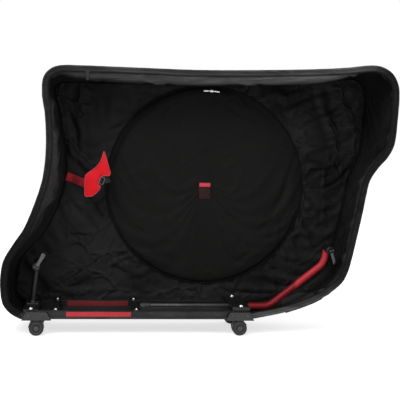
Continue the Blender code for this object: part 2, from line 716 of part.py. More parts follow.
def build_pocket():
    """A padded round pocket with piping, its zip's arc and slider, and the hub's tab."""
    x, z = POCKET_CENTRE
    back = HALF_BASE - WALL - FIT
    edge = POCKET_RADIUS - POCKET_TAPER
    profile = [(0, 0), (POCKET_RADIUS, 0), (POCKET_RADIUS, POCKET_EDGE),
               (edge, POCKET_DEPTH), (0, POCKET_DEPTH)]
    pocket = turned(profile, (x, back, z), (0, -1, 0), POCKET_SIDES)
    add_object("wheel_pocket", pocket, LINING)
    ring = POCKET_RADIUS + FIT + PIPING_RADIUS
    section = arc((ring, PIPING_RADIUS), PIPING_RADIUS, 0, 360, CORD_SIDES)[:-1]
    piping = turned(section, (x, back, z), (0, -1, 0), POCKET_SIDES)
    add_object("pocket_piping", piping, WEBBING_BLACK)

    front = back - POCKET_DEPTH - FIT
    half = POCKET_ZIP_WIDTH / 2
    steps = SMALL_SIDES
    outer = arc((0, 0), POCKET_ZIP_RADIUS + half, POCKET_ZIP_START, POCKET_ZIP_END, steps)
    inner = arc((0, 0), POCKET_ZIP_RADIUS - half, POCKET_ZIP_END, POCKET_ZIP_START, steps)
    tape = prism(outer + inner, (1, 0, 0), (0, 0, 1), (x, front, z), 0.0, POCKET_ZIP_THICKNESS)
    add_object("pocket_zip", tape, WEBBING_BLACK)

    axis = add_empty("pocket_slider_axis", (x, back, z))
    angle = math.radians(POCKET_SLIDER_ANGLE)
    seat = front - POCKET_ZIP_THICKNESS - FIT
    place = (x + POCKET_ZIP_RADIUS * math.cos(angle), z + POCKET_ZIP_RADIUS * math.sin(angle))
    slider = box((-POCKET_SLIDER_LENGTH / 2, seat - POCKET_SLIDER_HEIGHT, -POCKET_SLIDER_WIDTH / 2),
                 (POCKET_SLIDER_LENGTH / 2, seat, POCKET_SLIDER_WIDTH / 2),
                 POCKET_SLIDER_HEIGHT / 4)
    turn = Matrix.Rotation(math.pi / 2 - angle, 4, "Y")
    bmesh.ops.transform(slider, matrix=turn, verts=slider.verts)
    bmesh.ops.translate(slider, vec=(place[0], 0, place[1]), verts=slider.verts)
    add_object("pocket_slider", slider, STEEL, origin=(x, back, z), parent=axis)

    bar_z = z + TAB_DROP
    strap = box((TAB_X - TAB_WIDTH / 2, front - TAB_THICKNESS, bar_z - TAB_LENGTH),
                (TAB_X + TAB_WIDTH / 2, front, bar_z + TAB_FOLD_HEIGHT / 2), TAB_THICKNESS / 4)
    strap = add_object("hub_tab", strap, WEBBING_RED)
    fold = box((TAB_X - TAB_FOLD_WIDTH / 2, front - TAB_FOLD_DEPTH, bar_z - TAB_FOLD_HEIGHT / 2),
               (TAB_X + TAB_FOLD_WIDTH / 2, front - TAB_THICKNESS / 2,
                bar_z + TAB_FOLD_HEIGHT / 2 - TAB_THICKNESS / 4), TAB_FOLD_DEPTH / 5)
    add_boolean(strap, fold, "UNION")


def build_strap():
    """Webbing from the far rear seam to the pad that wraps the bicycle's seat tube."""
    heights = PANEL_EDGE[:SEAMS["rear"], 1]
    seam_x = float(np.interp(STRAP_HEIGHT, heights, PANEL_EDGE[:SEAMS["rear"], 0]))
    inside = HALF_BASE - WALL - FIT
    start = np.array([seam_x + STRAP_THICKNESS, inside - STRAP_THICKNESS / 2])
    corner = start + (STRAP_FOOT, 0.0)
    end = np.array([PAD_REAR_X + PAD_LAP, STRAP_END_Y])
    path = np.array([start, corner, end])
    runs = np.diff(path, axis=0)
    runs /= np.linalg.norm(runs, axis=1)[:, None]
    left = np.stack([-runs[:, 1], runs[:, 0]], axis=1)
    middle = (left[0] + left[1]) / (1 + left[0] @ left[1])
    sides = np.array([left[0], middle, left[1]]) * STRAP_THICKNESS / 2
    drops = np.array([0.0, 0.0, -STRAP_DROP]) + STRAP_HEIGHT
    rings = []
    for point, side, height in zip(path, sides, drops):
        rings.append([Vector((*(point + side * s), height + STRAP_WIDTH / 2 * k))
                      for s, k in ((-1, -1), (1, -1), (1, 1), (-1, 1))])
    add_object("rear_strap", skin(rings), WEBBING_RED)

    pad_back = float(end[1] - abs(sides[-1][1])) - FIT
    outline = [(PAD_WIDTH * a, PAD_HEIGHT * b) for a, b in PAD_SHARES]
    pad = prism(outline, (1, 0, 0), (0, 0, 1), (PAD_REAR_X, pad_back, PAD_FOOT),
                0.0, PAD_THICKNESS)
    add_object("frame_pad", pad, PAD_RED)
    top, foot = (np.array([PAD_REAR_X + PAD_WIDTH * a, PAD_FOOT + PAD_HEIGHT * b])
                 for a, b in PAD_SHARES[NOTCH_CORNER:NOTCH_CORNER + 2])
    up = (top - foot) / np.linalg.norm(top - foot)
    along = np.array([up[1], -up[0]])
    corner = top - up * BUCKLE_DROP + along * FIT
    outline = [corner, corner + along * BUCKLE_WIDTH,
               corner + along * BUCKLE_WIDTH - up * BUCKLE_HEIGHT, corner - up * BUCKLE_HEIGHT]
    front = pad_back - (PAD_THICKNESS - BUCKLE_DEPTH) / 2
    buckle = prism(outline, (1, 0, 0), (0, 0, 1), (0, front, 0), 0.0, BUCKLE_DEPTH)
    add_object("pad_buckle", buckle, PLASTIC_GREY)


def build_handle():
    """A webbing handle that swings on two anchors sewn to the far panel."""
    face = HALF_BASE + FIT
    eye = HANDLE_BAR_RADIUS + HANDLE_PLAY
    lift = face + ANCHOR_THICKNESS + eye + HANDLE_THICKNESS + HANDLE_PLAY
    axis = add_empty("carry_handle_axis", (HANDLE_X, lift, HANDLE_HEIGHT))
    legs = [HANDLE_X + side * HANDLE_SPAN / 2 for side in (-1, 1)]
    cheek = HANDLE_STRAP / 2 + HANDLE_PLAY
    low = HANDLE_HEIGHT - eye
    patch = box((legs[0] - cheek - ANCHOR_CHEEK, face, low),
                (legs[1] + cheek + ANCHOR_CHEEK, face + ANCHOR_THICKNESS, low + ANCHOR_LENGTH))
    item = add_object("handle_patch", patch, WEBBING_BLACK)
    for x in legs:
        for side in (-1, 1):
            inner = x + side * cheek
            outer = inner + side * ANCHOR_CHEEK
            ear = box((min(inner, outer), face + ANCHOR_THICKNESS / 2, HANDLE_HEIGHT - eye),
                      (max(inner, outer), lift + HANDLE_BAR_RADIUS + ANCHOR_CHEEK / 2,
                       HANDLE_HEIGHT + eye))
            add_boolean(item, ear, "UNION")
        bar = cylinder((x - cheek - ANCHOR_CHEEK / 2, lift, HANDLE_HEIGHT),
                       (x + cheek + ANCHOR_CHEEK / 2, lift, HANDLE_HEIGHT),
                       HANDLE_BAR_RADIUS, SMALL_SIDES)
        add_boolean(item, bar, "UNION")
    outline = hook_outline(eye, HANDLE_THICKNESS, HANDLE_DROP)
    straps = [prism(outline, (0, 1, 0), (0, 0, 1), (x, lift, HANDLE_HEIGHT),
                    -HANDLE_STRAP / 2, HANDLE_STRAP / 2) for x in legs]
    grip = box((HANDLE_X - HANDLE_SPAN / 2 - HANDLE_STRAP / 2, lift - HANDLE_GRIP_DEPTH / 2,
                HANDLE_HEIGHT - HANDLE_DROP - HANDLE_GRIP_HEIGHT / 2),
               (HANDLE_X + HANDLE_SPAN / 2 + HANDLE_STRAP / 2, lift + HANDLE_GRIP_DEPTH / 2,
                HANDLE_HEIGHT - HANDLE_DROP + HANDLE_GRIP_HEIGHT / 2), HANDLE_GRIP_DEPTH / 4)
    handle = add_object("carry_handle", grip, WEBBING_BLACK,
                        origin=(HANDLE_X, lift, HANDLE_HEIGHT), parent=axis)
    for strap in straps:
        add_boolean(handle, strap, "UNION")


def build_skid():
    """A curved plastic plate that guards the underside of the nose."""
    outer, _ = gusset_sections(SKID_SETBACK)
    rows = []
    index = np.arange(SKID_SAMPLES[0], SKID_SAMPLES[1] + 1)
    for lift in (FIT, FIT + SKID_THICKNESS):
        shifted = outer[index, :len(ACROSS_SHARES)].copy()
        outward = RIM_MITRES[index][:, None, :]
        shifted[..., 0] += outward[..., 0] * lift
        shifted[..., 2] += outward[..., 1] * lift
        rows.append(shifted)
    rings = [[Vector(p) for p in np.vstack([low, high[::-1]])] for low, high in zip(*rows)]
    add_object("nose_skid", skin(rings), PLASTIC_GREY)


def castor_axles():
    rear, front = BASE_REAR + CASTOR_REAR_X, BASE_FRONT - CASTOR_FRONT_X
    return (("rear_near", rear, -RAIL_CENTRE), ("rear_far", rear, RAIL_CENTRE),
            ("front_near", front, -RAIL_CENTRE), ("front_far", front, RAIL_CENTRE))


def castor_pivots():
    return [(x - CASTOR_TRAIL, y) for _, x, y in castor_axles()]


def frame_bolts():
    """Name, place, crossbar top, head radius and head height of each bolt in the rails."""
    bars = (("rear", REAR_BAR, REAR_BAR_THICKNESS, BIG_BOLT_RADIUS, BIG_BOLT_HEAD),
            ("mid", MID_BAR, CROSSBAR_THICKNESS, SMALL_BOLT_RADIUS, SMALL_BOLT_HEAD),
            ("centre", CENTRE_BAR, CROSSBAR_THICKNESS, SMALL_BOLT_RADIUS, SMALL_BOLT_HEAD),
            ("front", FRONT_BAR, FRONT_BAR_THICKNESS, BIG_BOLT_RADIUS, BIG_BOLT_HEAD))
    return [(f"bolt_{bar}_{end}", x, side * RAIL_CENTRE, BAR_Z + thickness, radius, head)
            for bar, x, thickness, radius, head in bars
            for end, side in (("near", -1), ("far", 1))]


def bolt(x, y, seat, radius, head):
    """A domed bolt through its crossbar and down into the rail."""
    low = RAIL_TOP - BOLT_DEPTH - seat
    under = FIT
    profile = [(0, low), (BOLT_SHANK_RADIUS, low), (BOLT_SHANK_RADIUS, under), (radius, under),
               (radius, under + head / 2), (radius * BOLT_DOME_SHARE, under + head),
               (0, under + head)]
    return turned(profile, (x, y, seat), (0, 0, 1), SMALL_SIDES)


def bolt_hole(x, y, low, high):
    return cylinder((x, y, low), (x, y, high), BOLT_SHANK_RADIUS + FIT, SMALL_SIDES)


def build_rails():
    rear, front = BASE_REAR + RAIL_END_SETBACK, BASE_FRONT - RAIL_END_SETBACK / 2
    for name, side in (("near", -1), ("far", 1)):
        centre = side * RAIL_CENTRE
        rail = add_object("rail_" + name, box((rear, centre - RAIL_WIDTH / 2, RAIL_Z),
                                              (front, centre + RAIL_WIDTH / 2, RAIL_TOP)),
                          RAIL_BLACK)
        middle = (RAIL_Z + RAIL_TOP) / 2
        groove_y = centre - RAIL_WIDTH / 2
        low_y, high_y = groove_y - OVERRUN, groove_y + GROOVE_DEPTH
        cutters = [box((rear - OVERRUN, low_y, middle - GROOVE_HEIGHT / 2),
                       (front + OVERRUN, high_y, middle + GROOVE_HEIGHT / 2))]
        for x, y in castor_pivots():
            if y * side > 0:
                cutters.append(cylinder((x, y, RAIL_Z - OVERRUN), (x, y, STEM_TOP + FIT),
                                        STEM_RADIUS + FIT, SMALL_SIDES))
        for _, x, y, _, _, _ in frame_bolts():
            if y * side > 0:
                cutters.append(bolt_hole(x, y, RAIL_TOP - BOLT_DEPTH - FIT, RAIL_TOP + OVERRUN))
        add_boolean(rail, merge(cutters), "DIFFERENCE")
        start = BASE_REAR + INSERT_START
        insert = box((start, groove_y + FIT, middle - GROOVE_HEIGHT / 2 + FIT),
                     (start + INSERT_LENGTH, groove_y + GROOVE_DEPTH - FIT,
                      middle + GROOVE_HEIGHT / 2 - FIT))
        add_object("rail_insert_" + name, insert, RAIL_RED)
    inner = RAIL_CENTRE - RAIL_WIDTH / 2 - BOARD_CLEARANCE
    board = box((rear, -inner, FLOOR_Z + FIT), (front, inner, BOARD_TOP), BOARD_THICKNESS / 4)
    add_object("floor_board", board, PLASTIC_BLACK)


def build_crossbars():
    half_y = RAIL_CENTRE + RAIL_WIDTH / 2
    bars = (("crossbar_rear", REAR_BAR, REAR_BAR_WIDTH, REAR_BAR_THICKNESS),
            ("crossbar_mid", MID_BAR, CROSSBAR_WIDTH, CROSSBAR_THICKNESS),
            ("crossbar_centre", CENTRE_BAR, CROSSBAR_WIDTH, CROSSBAR_THICKNESS),
            ("crossbar_front", FRONT_BAR, FRONT_BAR_WIDTH, FRONT_BAR_THICKNESS))
    for name, x, width, thickness in bars:
        top = BAR_Z + thickness
        item = add_object(name, box((x - width / 2, -half_y, BAR_Z), (x + width / 2, half_y, top),
                                    CROSSBAR_THICKNESS / 4), RAIL_BLACK)
        cutters = [bolt_hole(x, side * RAIL_CENTRE, BAR_Z - OVERRUN, top + OVERRUN)
                   for side in (-1, 1)]
        if x == FRONT_BAR:
            cutters.append(cylinder((x - width, 0, SLEEVE_HEIGHT), (x + width, 0, SLEEVE_HEIGHT),
                                    SLEEVE_RADIUS + FIT))
        add_boolean(item, merge(cutters), "DIFFERENCE")
    for name, *place in frame_bolts():
        add_object(name, bolt(*place), STEEL)


def build_sleeve():
    """The tube that holds the fork arm, its saddles on the floor board and its cap."""
    length = SLEEVE_FRONT - SLEEVE_REAR
    profile = [(SLEEVE_BORE, 0), (SLEEVE_RADIUS, 0), (SLEEVE_RADIUS, length), (SLEEVE_BORE, length)]
    sleeve = turned(profile, (SLEEVE_REAR, 0, SLEEVE_HEIGHT), (1, 0, 0), TUBE_SIDES)
    add_object("sleeve_tube", sleeve, RAIL_BLACK)

    low = BOARD_TOP + FIT
    top = SLEEVE_HEIGHT - CRADLE_DROP
    cradle = box((SLEEVE_REAR, -CRADLE_WIDTH / 2, low), (BASE_FRONT - RAIL_END_SETBACK / 2,
                                                         CRADLE_WIDTH / 2, top))
    cradle = add_object("sleeve_cradle", cradle, PLASTIC_BLACK)
    bed = cylinder((SLEEVE_REAR - OVERRUN, 0, SLEEVE_HEIGHT), (SLEEVE_FRONT, 0, SLEEVE_HEIGHT),
                   SLEEVE_RADIUS + FIT)
    add_boolean(cradle, bed, "DIFFERENCE")

    bore = SLEEVE_RADIUS + FIT
    outer = bore + CAP_WALL
    foot_low, foot_high = top + FIT, top + FIT + CAP_WALL
    rise_out = math.degrees(math.asin((foot_high - SLEEVE_HEIGHT) / outer))
    rise_in = math.degrees(math.asin((foot_low - SLEEVE_HEIGHT) / bore))
    over = arc((0, SLEEVE_HEIGHT), outer, rise_out, 180 - rise_out, SMALL_SIDES)
    under = arc((0, SLEEVE_HEIGHT), bore, 180 - rise_in, rise_in, SMALL_SIDES)
    outline = ([(CAP_FOOT, foot_low), (CAP_FOOT, foot_high)] + over
               + [(-CAP_FOOT, foot_high), (-CAP_FOOT, foot_low)] + under)
    cap = prism(outline, (0, 1, 0), (0, 0, 1), (SLEEVE_REAR + CAP_INSET, 0, 0), 0.0, CAP_LENGTH)
    add_object("sleeve_cap", cap, RAIL_BLACK)


def rounded_path(corners, radius, step):
    """Straight runs joined by arcs of one radius, as points a step apart."""
    corners = [np.array(c, float) for c in corners]
    points = [corners[0]]
    for before, corner, after in zip(corners, corners[1:], corners[2:]):
        into = (corner - before) / np.linalg.norm(corner - before)
        away = (after - corner) / np.linalg.norm(after - corner)
        turn = math.acos(float(np.clip(into @ away, -1, 1)))
        cut = radius * math.tan(turn / 2)
        start, end = corner - into * cut, corner + away * cut
        pieces = max(2, round(radius * turn / step))
        for k in range(pieces + 1):
            share = k / pieces
            first = start * (1 - share) + corner * share
            second = corner * (1 - share) + end * share
            points.append(first * (1 - share) + second * share)
    points.append(corners[-1])
    return points


def build_fork_arm():
    """The red arm slides in the sleeve and carries the hub that the fork clamps on."""
    axis = add_empty("fork_slide_axis", (SLEEVE_FRONT, 0, SLEEVE_HEIGHT))
    hub = np.array([FORK_HUB[0], FORK_HUB[2]])
    corners = [(SLEEVE_FRONT - ARM_INSERTION, SLEEVE_HEIGHT),
               (SLEEVE_FRONT + ARM_STRAIGHT, SLEEVE_HEIGHT),
               hub - (ARM_KNEE_BACK, ARM_KNEE_DROP), hub]
    path = [(x, 0.0, z) for x, z in rounded_path(corners, ARM_BEND_RADIUS, ARM_RADIUS)]
    arm = add_object("fork_arm", tube(path, ARM_RADIUS, TUBE_SIDES), ARM_RED,
                     origin=(SLEEVE_FRONT, 0, SLEEVE_HEIGHT), parent=axis)
    build_hub("fork", arm, FORK_HUB, FORK_HUB_WIDTH, Vector(FORK_LEVER_WAY), axis)


def build_hub(name, carrier, centre, width, lever_way, parent):
    """A hub welded on its carrier, with a skewer headed on the far end and levered on the near."""
    centre = Vector(centre)
    y_axis = Vector((0, 1, 0))
    near = centre - y_axis * (width / 2)
    add_boolean(carrier, cylinder(near, centre + y_axis * (width / 2), HUB_RADIUS), "UNION")
    bore = cylinder(centre - y_axis * width, centre + y_axis * width, HUB_BORE, SMALL_SIDES)
    add_boolean(carrier, bore, "DIFFERENCE")

    way = lever_way.normalized()
    pin_axis = way.cross(y_axis)
    pivot = near - y_axis * (LEVER_EYE + DROPOUT_GAP)
    half_pin = LEVER_WIDTH / 2
    length = (centre - pivot).length + width / 2 + DROPOUT_GAP
    chamfer = HEAD_RADIUS / 5
    profile = [(0, 0), (SKEWER_RADIUS, 0), (SKEWER_RADIUS, length), (HEAD_RADIUS, length),
               (HEAD_RADIUS, length + HEAD_LENGTH - chamfer),
               (HEAD_RADIUS - chamfer, length + HEAD_LENGTH), (0, length + HEAD_LENGTH)]
    skewer = add_object(name + "_skewer", turned(profile, pivot, y_axis, SMALL_SIDES),
                        STEEL, origin=centre, parent=parent)
    pin = cylinder(pivot - pin_axis * half_pin, pivot + pin_axis * half_pin, SKEWER_PIN_RADIUS,
                   SMALL_SIDES)
    add_boolean(skewer, pin, "UNION")

    axis = add_empty(name + "_lever_axis", pivot, parent)
    spread = math.degrees(math.acos((LEVER_EYE - LEVER_TIP) / LEVER_LENGTH))
    outline = (arc((0, 0), LEVER_EYE, spread, 360 - spread, SMALL_SIDES)
               + arc((LEVER_LENGTH, 0), LEVER_TIP, -spread, spread, SMALL_SIDES // 2))
    lever = prism(outline, way, y_axis, pivot, -half_pin, half_pin)
    lever = add_object(name + "_lever", lever, STEEL, origin=pivot, parent=axis)
    slot_half = LEVER_SLOT / 2
    slot_outline = [(-LEVER_EYE - OVERRUN, -LEVER_EYE - OVERRUN),
                    (LEVER_EYE + LEVER_TIP, -LEVER_EYE - OVERRUN),
                    (LEVER_EYE + LEVER_TIP, LEVER_EYE + OVERRUN),
                    (-LEVER_EYE - OVERRUN, LEVER_EYE + OVERRUN)]
    slot = prism(slot_outline, way, y_axis, pivot, -slot_half, slot_half)
    add_boolean(lever, slot, "DIFFERENCE")
    bore = cylinder(pivot - pin_axis * LEVER_WIDTH, pivot + pin_axis * LEVER_WIDTH,
                    SKEWER_PIN_RADIUS + LEVER_PLAY, SMALL_SIDES)
    add_boolean(lever, bore, "DIFFERENCE")


def build_rear_post():
    """The post on the rear crossbar that holds the bicycle's rear axle."""
    foot_z = BAR_Z + REAR_BAR_THICKNESS + FIT
    foot = Vector((REAR_BAR, 0, foot_z))
    flange = box((REAR_BAR - FLANGE_WIDTH / 2, -FLANGE_WIDTH / 2, foot_z),
                 (REAR_BAR + FLANGE_WIDTH / 2, FLANGE_WIDTH / 2, foot_z + FLANGE_THICKNESS))
    item = add_object("rear_post", flange, RAIL_BLACK)
    post = cylinder(foot + Vector((0, 0, FLANGE_THICKNESS / 2)), REAR_HUB, POST_RADIUS)
    add_boolean(item, post, "UNION")
    build_hub("rear", item, REAR_HUB, REAR_HUB_WIDTH, Vector(REAR_LEVER_WAY), None)


def build_castor(name, x, y):
    """One castor: its shoe on the shell's corner, a swivelling hood and a twin wheel set."""
    side = 1 if y > 0 else -1
    axle = Vector((x, y, WHEEL_RADIUS))
    pivot = Vector((x - CASTOR_TRAIL, y, BASE_Z))
    clearance = WHEEL_PLAY
    well = WHEEL_RADIUS + clearance
    skirt = well + HOOD_WALL
    half_width_y = WEB_WIDTH / 2 + clearance + WHEEL_WIDTH + FIT
    swivel = add_empty("castor_swivel_" + name + "_axis", pivot)

    # The hood is a round block over the wheels with a well cut on either side of its web
    boss = HUB_CAP_RADIUS + HOOD_WALL
    outline = (arc((0, 0), skirt, HOOD_FRONT_ANGLE, HOOD_REAR_ANGLE, SMALL_SIDES)
               + arc((0, 0), boss, HOOD_REAR_ANGLE + HOOD_LEAN, 360 + HOOD_FRONT_ANGLE - HOOD_LEAN,
                     SMALL_SIDES // 2))
    hood = prism(outline, (1, 0, 0), (0, 0, 1), axle, -half_width_y, half_width_y)
    item = add_object("castor_hood_" + name, hood, PLASTIC_BLACK, origin=pivot, parent=swivel)
    hood_top = WHEEL_RADIUS + skirt
    crown = math.sqrt(skirt * skirt - (CASTOR_TRAIL + COLLAR_RADIUS) ** 2)
    seat = WHEEL_RADIUS + crown - HOOD_WALL / 2
    profile = [(0, seat), (COLLAR_RADIUS, seat), (COLLAR_RADIUS, hood_top),
               (STEM_RADIUS, hood_top), (STEM_RADIUS, STEM_TOP), (0, STEM_TOP)]
    stem = turned(profile, (pivot.x, y, 0), (0, 0, 1), SMALL_SIDES)
    add_boolean(item, stem, "UNION")
    wells = []
    for way in (-1, 1):
        start = axle + Vector((0, way * WEB_WIDTH / 2, 0))
        end = axle + Vector((0, way * (half_width_y + OVERRUN), 0))
        wells.append(cylinder(start, end, well, WHEEL_SIDES))
    add_boolean(item, merge(wells), "DIFFERENCE")
    hole = cylinder(axle - Vector((0, WEB_WIDTH, 0)), axle + Vector((0, WEB_WIDTH, 0)),
                    AXLE_RADIUS + FIT, SMALL_SIDES)
    add_boolean(item, hole, "DIFFERENCE")

    # The wheel set is one axle with a wheel at either side of the web
    inner = WEB_WIDTH / 2 + clearance
    outer = inner + WHEEL_WIDTH
    rim = WHEEL_RADIUS - WHEEL_CROWN
    half = [(AXLE_RADIUS, inner), (rim, inner), (WHEEL_RADIUS, inner + WHEEL_CROWN),
            (WHEEL_RADIUS, outer - WHEEL_CROWN), (rim, outer), (HUB_CAP_RADIUS, outer),
            (HUB_CAP_RADIUS, outer + HUB_CAP_DEPTH), (0, outer + HUB_CAP_DEPTH)]
    profile = [(radius, -height) for radius, height in reversed(half)] + half
    spin = add_empty("castor_wheels_" + name + "_axis", axle, swivel)
    add_object("castor_wheels_" + name, turned(profile, axle, (0, 1, 0), WHEEL_SIDES),
               WHEEL_GREY, origin=axle, parent=spin)

    # The shoe's plate lies under the base and its wall stands on the outer side
    top = BASE_Z - FIT
    low = top - SHOE_PLATE
    wall = side * (HALF_BASE + FIT + SEAM)
    outer_y = wall + side * SHOE_WALL
    inner_y = outer_y - side * SHOE_WIDTH
    centre_x = x - FIT
    plate = box((centre_x - SHOE_LENGTH / 2, min(outer_y, inner_y), low),
                (centre_x + SHOE_LENGTH / 2, max(outer_y, inner_y), top))
    shoe = add_object("castor_shoe_" + name, plate, PLASTIC_GREY)
    face = [(-SHOE_LENGTH / 2, low), (SHOE_LENGTH / 2, low), (SHOE_TOP_LENGTH / 2, SHOE_TOP),
            (-SHOE_TOP_LENGTH / 2, SHOE_TOP)]
    low_y, high_y = sorted((wall, outer_y))
    add_boolean(shoe, prism(face, (1, 0, 0), (0, 0, 1), (centre_x, 0, 0), -high_y, -low_y),
                "UNION")
    add_boolean(shoe, cylinder((pivot.x, y, low - OVERRUN), (pivot.x, y, top + OVERRUN),
                               STEM_RADIUS + FIT, SMALL_SIDES), "DIFFERENCE")


def main():
    build_shell()
    build_rim()
    build_pocket()
    build_strap()
    build_handle()
    build_skid()
    build_rails()
    build_crossbars()
    build_sleeve()
    build_fork_arm()
    build_rear_post()
    for name, x, y in castor_axles():
        build_castor(name, x, y)


clear_scene()
main()
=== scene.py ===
import json
import math
import bmesh
import bpy
import numpy as np
from mathutils import Matrix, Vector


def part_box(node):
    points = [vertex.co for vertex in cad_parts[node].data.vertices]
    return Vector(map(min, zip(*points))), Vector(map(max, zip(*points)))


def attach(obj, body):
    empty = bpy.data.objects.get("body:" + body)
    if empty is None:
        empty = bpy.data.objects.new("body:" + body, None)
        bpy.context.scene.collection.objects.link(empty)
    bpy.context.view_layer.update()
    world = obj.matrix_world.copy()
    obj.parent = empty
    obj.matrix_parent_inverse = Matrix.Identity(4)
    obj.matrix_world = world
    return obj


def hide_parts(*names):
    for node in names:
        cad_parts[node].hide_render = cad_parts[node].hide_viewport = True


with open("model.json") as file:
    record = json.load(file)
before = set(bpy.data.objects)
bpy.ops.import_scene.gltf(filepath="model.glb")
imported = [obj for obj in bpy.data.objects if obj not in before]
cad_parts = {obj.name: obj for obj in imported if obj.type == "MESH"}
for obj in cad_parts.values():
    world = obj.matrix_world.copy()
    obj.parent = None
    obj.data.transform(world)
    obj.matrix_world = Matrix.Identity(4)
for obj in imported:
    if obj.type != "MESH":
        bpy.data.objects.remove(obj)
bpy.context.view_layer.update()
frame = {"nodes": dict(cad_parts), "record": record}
scene = bpy.context.scene
rng = np.random.default_rng(7)
print("frame loaded:", len(frame["nodes"]), "nodes")


def unitRows(values):  # each row divided by its length
    return values / np.maximum(np.linalg.norm(values, axis=-1, keepdims=True), 1e-12)


def circle(steps):  # angles once round
    return np.linspace(0, math.tau, steps, endpoint=False)


def reachAlong(path):  # distance along a path at each of its points
    return np.concatenate([[0], np.cumsum(np.linalg.norm(np.diff(path, axis=0), axis=1))])


def boxOf(node):  # low and high corner of a CAD node
    return [np.array(corner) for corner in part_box(node)]


frontWay, farWay, nearWay, upWay = (1, 0, 0), (0, 1, 0), (0, -1, 0), (0, 0, 1)


# Camera: its axes follow from where the bag's long and cross directions vanish in the picture
cameraView = {"focalPixels": 1000.0, "frameWidth": 400.0, "sensor": 36.0,
              "acrossVanishes": (-114.0, -67.0, 1000.0),
              "alongVanishes": (8697.3, 127.0, 1000.0), "eye": (-0.3831, -3.4461, 0.6749)}


def addCamera(view):  # the two vanishing directions and their cross product are its axes
    sideways, away = (unitRows(np.array(view[key])) for key in ("alongVanishes", "acrossVanishes"))
    data = bpy.data.cameras.new("photoCamera")
    data.sensor_width = view["sensor"]
    data.lens = view["sensor"] * view["focalPixels"] / view["frameWidth"]
    camera = bpy.data.objects.new("photoCamera", data)
    matrix = np.eye(4)
    matrix[:3, :3] = np.array([sideways, away, np.cross(sideways, away)]) * (1, -1, -1)
    matrix[:3, 3] = view["eye"]
    camera.matrix_world = Matrix(matrix.tolist())
    scene.collection.objects.link(camera)
    scene.camera = camera


addCamera(cameraView)


# Node helpers
def feed(tree, socket, value):  # links another node's output, or sets a constant
    if isinstance(value, bpy.types.NodeSocket):
        tree.links.new(value, socket)
    elif value is not None:
        socket.default_value = (*value, 1.0) if socket.type == "RGBA" else value


def addNode(tree, kind, settings=None, **sockets):  # From_Min stands for the socket "From Min"
    node = tree.nodes.new("ShaderNode" + kind)
    for key, value in (settings or {}).items():
        setattr(node, key, value)
    for key, value in sockets.items():
        feed(tree, node.inputs[key.replace("_", " ")], value)
    return node


def addMath(tree, operation, *values, kind="Math"):  # values in the order of its sockets
    node = addNode(tree, kind, {"operation": operation})
    for socket, value in zip(node.inputs, values):
        feed(tree, socket, value)
    return node.outputs[0]


def mixColours(tree, factor, first, second):
    node = addNode(tree, "Mix", {"data_type": "RGBA"})
    for index, value in ((0, factor), (6, first), (7, second)):
        feed(tree, node.inputs[index], value)
    return node.outputs[2]


def addNoise(tree, place, scale, detail=2.0, output="Fac", **more):
    return addNode(tree, "TexNoise", Vector=place, Scale=scale, Detail=detail,
                   **more).outputs[output]


def mapRange(tree, value, settings=None, **limits):
    return addNode(tree, "MapRange", settings, Value=value, **limits).outputs[0]


def addMapping(tree, place, **values):
    return addNode(tree, "Mapping", Vector=place, **values).outputs[0]


def addBump(tree, height, distance, strength, under=None):
    return addNode(tree, "Bump", Height=height, Distance=distance, Strength=strength,
                   Normal=under).outputs[0]


def placeGroup(tree, group, **sockets):
    return addNode(tree, "Group", {"node_tree": group}, **sockets).outputs


def newGroup(name, inputs, outputs):  # inputs as label: kind of socket, or a float's value
    tree = bpy.data.node_groups.new(name, "ShaderNodeTree")
    for label, kind in inputs.items():
        word = kind if isinstance(kind, str) else "Float"
        socket = tree.interface.new_socket(name=label, in_out="INPUT",
                                           socket_type="NodeSocket" + word)
        if word != kind:
            socket.default_value = kind
    for label, kind in outputs.items():
        tree.interface.new_socket(name=label, in_out="OUTPUT", socket_type="NodeSocket" + kind)
    return tree, tree.nodes.new("NodeGroupInput").outputs, tree.nodes.new("NodeGroupOutput").inputs


# Node groups shared by the materials
def buildWeaveGroup():  # plain weave: warp and weft humps change places square by square
    tree, given, out = newGroup("clothWeave", {"Vector": "Vector", "Pitch": 0.001},
                                {"Height": "Float"})
    pitch = addNode(tree, "CombineXYZ", **dict.fromkeys("XYZ", given["Pitch"])).outputs[0]
    scaled = addMath(tree, "DIVIDE", given["Vector"], pitch, kind="VectorMath")
    parts = addNode(tree, "SeparateXYZ", Vector=scaled).outputs
    squares = addNode(tree, "TexChecker", Vector=scaled, Scale=1.0).outputs["Fac"]
    mix = addNode(tree, "Mix")
    feed(tree, mix.inputs[0], squares)
    for axis in (0, 1):
        wave = addMath(tree, "SINE", addMath(tree, "MULTIPLY", parts[axis], math.pi))
        feed(tree, mix.inputs[axis + 2], addMath(tree, "ABSOLUTE", wave))
    feed(tree, out["Height"], mix.outputs[0])
    return tree


def buildToneGroup():  # cloudy tone: broad patches and a finer mottling lift a colour
    tree, given, out = newGroup("surfaceTone", {"Vector": "Vector", "Colour": "Color",
                                                "Light Colour": "Color", "Scale": 6.0},
                                {"Colour": "Color", "Mask": "Float"})
    broad = addNoise(tree, given["Vector"], given["Scale"], 3.0, Roughness=0.55)
    fine = addNoise(tree, given["Vector"], addMath(tree, "MULTIPLY", given["Scale"], 9.0))
    both = addMath(tree, "ADD", addMath(tree, "MULTIPLY", broad, 0.75),
                   addMath(tree, "MULTIPLY", fine, 0.25))
    mask = mapRange(tree, both, From_Min=0.35, From_Max=0.65)
    feed(tree, out["Colour"], mixColours(tree, mask, given["Colour"], given["Light Colour"]))
    feed(tree, out["Mask"], mask)
    return tree


